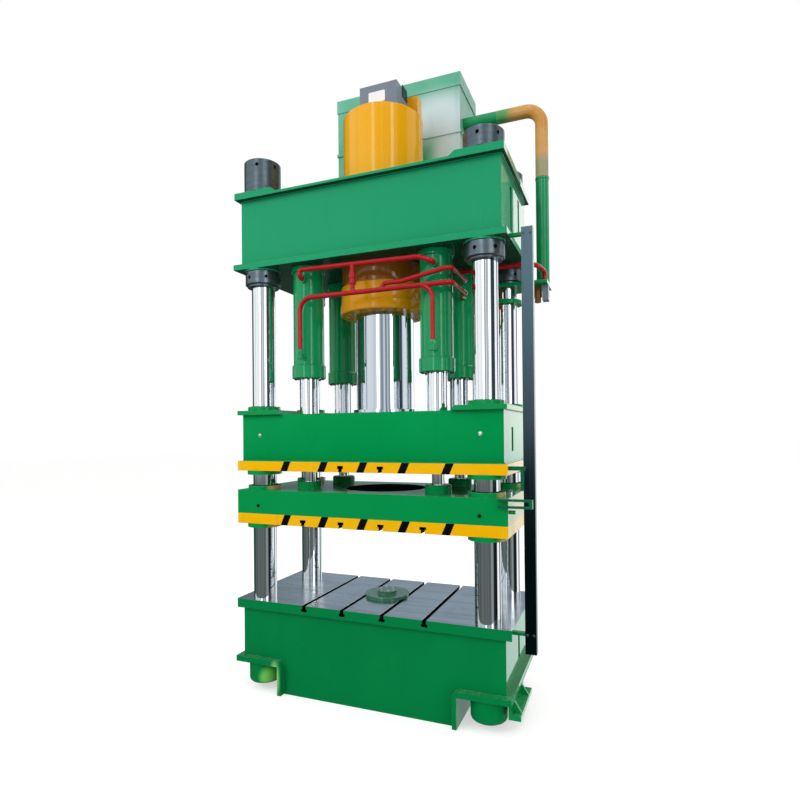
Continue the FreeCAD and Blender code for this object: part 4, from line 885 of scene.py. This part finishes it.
# --------------------------------------------------------------------------------------- the studio
@dataclass
class Studio:
    """Floor, lamps, background and the camera of the photograph."""

    eye: Point = (1.6849, -3.9184, 1.8785)
    yaw: float = 0.3811
    pitch: float = 0.00686
    roll: float = -0.00913
    focal: float = 566.27
    image: int = 800
    horizon: float = 428.92
    floor_half: float = 40.0
    lamp_aim: float = 2.1
    lamps: List[Tuple[str, Point, float, float]] = field(default_factory=lambda: [
        ("key_lamp", (-4.6, -6.4, 6.2), 5.0, 300.0),
        ("side_lamp", (7.4, -3.0, 4.4), 4.5, 160.0),
        ("top_lamp", (0.6, 0.4, 9.6), 5.5, 140.0),
        ("back_lamp", (2.0, 8.0, 5.4), 5.0, 120.0)])
    hall: Sequence[Tuple[float, str, str]] = (
        (-180.0, "9aa8b4", "6d7477"), (-150.0, "98a5b0", "5a6462"), (-138.0, "2c3b36", "12402d"),
        (-92.0, "33473f", "0f4a31"), (-84.0, "f4f6f8", "3f4848"), (-62.0, "ffffff", "5f6765"),
        (-56.0, "a7afb4", "3f4645"), (-52.0, "ffffff", "575f5d"), (-24.0, "f4f6f8", "646c6a"),
        (-20.0, "dfe3e5", "4d5553"), (-16.0, "f4f6f8", "5c6462"), (2.0, "f2f5f7", "606866"),
        (8.0, "8f989f", "565e5b"), (15.0, "a9b1b7", "616967"), (18.0, "f4f6f8", "646c6a"),
        (22.0, "e9edf0", "5c6462"), (25.0, "78828a", "4d5553"), (29.0, "99a2a9", "565e5b"),
        (32.0, "f4f6f8", "616967"), (35.0, "b4bcc2", "575f5d"), (40.0, "8f989f", "616967"),
        (44.0, "ffffff", "8d9391"),
        (60.0, "ffffff", "828886"), (66.0, "2a3440", "1b2427"), (92.0, "3a4756", "10181b"),
        (98.0, "ffffff", "2c3335"), (106.0, "ffffff", "ffffff"), (128.0, "ffffff", "ffffff"),
        (133.0, "39465a", "3c464c"), (146.0, "2e3b50", "333d44"), (152.0, "ffffff", "cfdeda"),
        (180.0, "ffffff", "cfdeda"))
    window: Tuple[float, float] = (0.908, 0.925)
    boxes: Sequence[Tuple[float, float]] = ((-9.0, -2.0), (45.0, 52.0))
    box_strength: float = 4.0
    box_edge: float = 0.004

    def camera(self) -> None:
        """The camera, at the photograph's place and angle."""
        lens = bpy.data.cameras.new("photo_camera")
        lens.sensor_fit = "HORIZONTAL"
        lens.sensor_width = SENSOR_WIDTH
        lens.lens = self.focal / self.image * lens.sensor_width
        lens.shift_y = (self.horizon - self.image / 2) / self.image
        camera = bpy.data.objects.new("photo_camera", lens)
        bpy.context.scene.collection.objects.link(camera)
        flat = math.cos(self.pitch)
        ahead = Vector((-math.sin(self.yaw) * flat, math.cos(self.yaw) * flat, math.sin(self.pitch)))
        level = Vector((math.cos(self.yaw), math.sin(self.yaw), 0.0))
        top = level.cross(ahead)
        right = level * math.cos(self.roll) + top * math.sin(self.roll)
        above = top * math.cos(self.roll) - level * math.sin(self.roll)
        turn = Matrix((right, above, -ahead)).transposed().to_4x4()
        camera.matrix_world = Matrix.Translation(self.eye) @ turn
        bpy.context.scene.camera = camera

    def lights(self) -> None:
        """Soft square lamps that face the press."""
        for name, place, size, power in self.lamps:
            lamp = bpy.data.lights.new(name, "AREA")
            lamp.shape = "SQUARE"
            lamp.size = size
            lamp.energy = power
            holder = bpy.data.objects.new(name, lamp)
            bpy.context.scene.collection.objects.link(holder)
            holder.location = place
            holder.visible_glossy = False
            aim = Vector((0.0, 0.0, self.lamp_aim)) - Vector(place)
            holder.rotation_euler = aim.to_track_quat("-Z", "Y").to_euler()

    def world(self) -> None:
        """White to the camera; a bright hall with dark bays to polished surfaces; even light to the rest."""
        world = bpy.data.worlds.new("studio")
        bpy.context.scene.world = world
        world.use_nodes = True
        graph = Graph(world.node_tree)
        x, y, z = graph.split(graph.add("TexCoord", output="Generated"))
        seen, gloss, through = graph.rays("Camera", "Glossy", "Transmission")
        gloss = gloss.either(through)
        around = x.turn_to(y * -1.0) / math.tau + 0.5
        high, low = (graph.ramp(around, [(row[0] / 360.0 + 0.5, shade(row[i])) for row in self.hall])
                     for i in (1, 2))
        room = graph.mix(z.step(-0.1, 0.03), low, high)
        colour = graph.mix(gloss, WHITE, room)
        bright = around.step(*self.window) * 0.45 + 1.15
        for start, end in self.boxes:
            first, last = start / 360.0 + 0.5, end / 360.0 + 0.5
            sides = around.step(first - self.box_edge, first) * around.step(last + self.box_edge, last)
            bright = bright + sides * z.step(-0.06, 0.02) * self.box_strength
        strength = seen + (1.0 - seen) * (gloss * bright + (1.0 - gloss) * 0.62)
        light = graph.add("Background", inputs={"Color": colour, "Strength": strength})
        graph.add("OutputWorld", inputs={"Surface": light})

    def floor(self) -> None:
        """A pale floor that keeps the press's shadow and is white elsewhere."""
        floor = Bench.start(bpy.ops.mesh.primitive_plane_add, "studio_floor", size=self.floor_half * 2,
                            location=(0, 0, -0.0005))
        Bench.bake(floor)
        material, graph = new_graph("floor_white")
        seen, gloss = graph.rays("Camera", "Glossy")
        grain = graph.noise(3.0, detail=3.0)
        colour = graph.mix(grain * 0.2, shade("d6d6d4"), shade("cfcfcd"))
        graph.surface(Base_Color=colour, Roughness=0.9, Emission_Color=WHITE,
                      Emission_Strength=seen * 0.55, Alpha=1.0 - gloss)
        floor.data.materials.append(material)

    def build(self) -> None:
        """Builds the whole studio."""
        self.camera()
        self.lights()
        self.world()
        self.floor()
        bpy.context.scene.view_settings.view_transform = "Standard"


# ---------------------------------------------------------------------------------- the sub-assemblies
@dataclass
class Welds:
    """Weld beads round a box weldment, at some heights."""

    name: str
    paint: Paint
    heights: Sequence[float]
    body: Body = Body.FRAME
    half_width: float = 0.978
    half_depth: float = 0.425

    def build(self) -> None:
        """Builds the beads as one piece."""
        beads = [bead for z in self.heights for bead in outline_beads(self.half_width, self.half_depth, z)]
        seams(self.name, self.body, beads, self.paint)


def four(half_x: float, half_y: float, z: float = 0.0) -> List[Point]:
    """The four corners at half_x, half_y and one height."""
    return [(sx * half_x, sy * half_y, z) for sx, sy in SIGNS.values()]


@dataclass
class Columns:
    """The seals and bushes of the slides on the four columns."""

    half_x: float = 0.848
    half_y: float = 0.339
    radius: float = 0.085
    bush_radius: float = 0.1013
    flange_radius: float = 0.119
    slide_half_depth: float = 0.425
    plate_bottom: float = 1.61
    plate_top: float = 1.68
    slide_top: float = 2.02
    pad_top: float = 2.052
    flange_top: float = 2.08

    def places(self) -> List[Matrix]:
        """The four column axes."""
        return [Matrix.Translation(place) for place in four(self.half_x, self.half_y)]

    def bushes(self) -> None:
        """The upper slide's bushes, flanged on its pads and flush with its front and back."""
        inner, rim = self.radius + 0.00005, self.flange_radius - 0.002
        profile = [(inner, self.plate_bottom), (self.bush_radius, self.plate_bottom),
                   (self.bush_radius, self.pad_top), (self.flange_radius, self.pad_top),
                   (self.flange_radius, self.flange_top - 0.002), (rim, self.flange_top),
                   (inner, self.flange_top)]
        bush = turned_ring("upper_bushes", profile, sides=96)
        flat = self.slide_half_depth - self.half_y
        for side in (-1, 1):
            cutter = Bench.start(bpy.ops.mesh.primitive_cube_add, "flat", size=1.0)
            cutter.scale = (0.3, 0.1, self.slide_top - self.plate_top)
            cutter.location = (0.0, side * (flat + 0.05), (self.slide_top + self.plate_top) / 2)
            Bench.cut(bush, cutter)
        bushes = Bench.spread(bush, self.places(), "upper_bushes")
        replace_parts(Bench.finish(bushes, GREEN, Body.UPPER, "green_paint"), "upper_guide_bushes")

    def wipers(self, name: str, body: Body, z: float) -> None:
        """Four rubber wiper rings at one height."""
        inner, outer = self.radius + 0.0004, self.radius + 0.014
        profile = [(inner + 0.002, z), (outer, z), (outer - 0.002, z + 0.003), (inner, z + 0.005)]
        ring = turned_ring(name, profile)
        Bench.finish(Bench.spread(ring, self.places(), name), SEAL_BLACK, body, "dark_paint")

    def build(self) -> None:
        """Adds the bushes and the wipers."""
        self.bushes()
        self.wipers("upper_wipers", Body.UPPER, 2.08)
        self.wipers("lower_wipers", Body.LOWER, 1.498)


@dataclass
class MainCylinder:
    """Screws of the main cylinder, and the label and strip of its valve box."""

    gland_bottom: float = 2.752
    top: float = 4.215
    box_front: float = -0.2

    def label(self) -> None:
        """The bare white plate on the front of the valve box."""
        plate = Bench.start(bpy.ops.mesh.primitive_plane_add, "box_label", size=1.0)
        plate.scale = (0.128, 0.08, 1.0)
        Bench.bake(plate)
        Bench.faces(plate, lambda centre, normal: True)
        bpy.ops.mesh.bevel(offset=0.008, segments=4, affect="VERTICES")
        Bench.faces(plate, lambda centre, normal: True)
        bpy.ops.mesh.extrude_region_move(TRANSFORM_OT_translate={"value": (0, 0, 0.002)})
        bpy.ops.mesh.inset(thickness=0.0022)
        bpy.ops.transform.translate(value=(0, 0, 0.0005))
        bpy.ops.mesh.inset(thickness=0.004)
        bpy.ops.transform.translate(value=(0, 0, -0.0006))
        bpy.ops.mesh.select_all(action="SELECT")
        bpy.ops.mesh.normals_make_consistent(inside=False)
        Bench.clear()
        plate.matrix_world = Matrix.Translation((0.038, self.box_front, 4.3)) @ Facing.FRONT.turn()
        Bench.finish(plate, LABEL_WHITE, Body.FRAME, "grey_paint")

    def vent(self) -> None:
        """The black louvred strip over the top edge of the valve box's right side, near the rear."""
        strip = Bench.start(bpy.ops.mesh.primitive_cube_add, "box_vent", size=1.0)
        strip.scale = (0.095, 0.085, 1.0)
        Bench.bake(strip)
        for vertex in strip.data.vertices:
            vertex.co.z = 0.004 if vertex.co.z > 0.0 else 0.0
        Bench.edges(strip, lambda along: abs(along.y) > 0.05)
        bpy.ops.mesh.subdivide(number_cuts=9)
        Bench.faces(strip, lambda centre, normal: normal.z > 0.9 and abs(centre.y) < 0.036)
        bpy.ops.mesh.inset(thickness=0.003, use_individual=True)
        bpy.ops.mesh.extrude_faces_move(TRANSFORM_OT_shrink_fatten={"value": -0.003})
        Bench.clear()
        turn = Facing.RIGHT.turn() @ Matrix.Rotation(math.pi / 2, 4, "Z")
        strip.matrix_world = Matrix.Translation((0.193, -0.05, 4.37)) @ turn
        Bench.finish(strip, BLACK_PAINT, Body.FRAME, "dark_paint")

    def build(self) -> None:
        """Adds the label, the vent and the screws."""
        self.label()
        self.vent()
        screws("main_gland_screws", Body.FRAME,
               [ScrewRing((0, 0, self.gland_bottom), 0.274, 16, 0.013, 0.007, Facing.DOWN)],
               "yellow_paint", GLAND_YELLOW)
        screws("cylinder_head_screws", Body.FRAME,
               [ScrewRing((0, 0, self.top), 0.258, 16, 0.013, 0.012, turn=math.radians(6.0))],
               "yellow_paint", CYLINDER_YELLOW)


@dataclass
class HolderCylinders:
    """Gland screws of the four blank-holder cylinders, and the union nuts on their front ports."""

    half_x: float = 0.498
    half_y: float = 0.27
    gland_bottom: float = 2.282
    port_turn: float = 0.028
    port_y: float = -0.44
    port_top: float = 2.446

    def build(self) -> None:
        """Adds the gland screws and the union nuts."""
        screws("holder_gland_screws", Body.FRAME,
               [ScrewRing(place, 0.099, 8, 0.008, 0.008, Facing.DOWN, math.radians(22.5))
                for place in four(self.half_x, self.half_y, self.gland_bottom)])
        nut = hex_nut("union", 0.046, 0.034, 0.0172)
        places = [Matrix.Translation((side * self.half_x + self.port_turn, self.port_y, self.port_top))
                  for side in (-1, 1)]
        Bench.finish(Bench.spread(nut, places, "port_unions"), BARREL_GREEN, Body.FRAME, "green_paint")


@dataclass
class Slide:
    """Bush screws and plugs of a slide, and the face sheets and welds of one that is a welded box."""

    body: Body
    flange_top: float
    plug: Point
    plug_finish: Finish
    weld_height: float = 0.0
    box_top: float = 0.0
    half_width: float = 0.978
    half_depth: float = 0.425
    sheet: float = 0.0008
    sheet_gap: float = 0.0005

    def face_sheets(self, name: str) -> None:
        """Thin sheets over the front and back of the box, from its weld to its top."""
        height = self.box_top - self.weld_height - 2 * self.sheet_gap
        middle = self.box_top - self.sheet_gap - height / 2
        sheet = Bench.start(bpy.ops.mesh.primitive_cube_add, name, size=1.0)
        sheet.scale = (2 * self.half_width - 0.0004, self.sheet, height)
        Bench.bake(sheet)
        Bench.modify(sheet, "BEVEL", width=self.sheet * 0.4, segments=2)
        places = [Matrix.Translation((0.0, side * (self.half_depth + self.sheet / 2), middle))
                  for side in (-1, 1)]
        Bench.finish(Bench.spread(sheet, places, name), SHEET_GREEN, self.body, "green_paint")

    def build(self) -> None:
        """Adds the welds, face sheets, bush screws and plugs."""
        short = self.body.value.split("_")[0]
        if self.weld_height:
            Welds(short + "_slide_welds", GREEN, (self.weld_height,), self.body).build()
            self.face_sheets(short + "_face_sheets")
        screws(short + "_bush_screws", self.body,
               [ScrewRing(place, 0.109, 8, 0.007, 0.003, turn=math.radians(22.5))
                for place in four(0.848, 0.339, self.flange_top)])
        x, y, z = self.plug
        screws(short + "_plugs", self.body,
               [ScrewRing((side * x, y, z), 0.0, 1, 0.01, 0.004, Facing.FRONT) for side in (-1, 1)],
               finish=self.plug_finish)


def main() -> None:
    """Builds the press's looks in order."""
    Studio().build()
    dress()
    Welds("bed_welds", BED_GREEN, (0.592,)).build()
    Welds("crown_welds", CROWN_GREEN, (3.135, 3.616)).build()
    Columns().build()
    MainCylinder().build()
    HolderCylinders().build()
    Slide(Body.UPPER, flange_top=2.08, plug=(0.828, -0.4258, 1.869), plug_finish=BRIGHT_STEEL,
          weld_height=1.68, box_top=2.02).build()
    Slide(Body.LOWER, flange_top=1.498, plug=(0.826, -0.456, 1.355), plug_finish=SEAL_BLACK).build()
    screws("rail_screws", Body.FRAME,
           [ScrewRing((1.126, -0.4, z), 0.02, 2, 0.007, 0.005, Facing.FRONT) for z in (0.629, 3.105)])


if __name__ == "__main__":
    logging.basicConfig(level=logging.INFO, format="%(name)s: %(message)s")
    main()
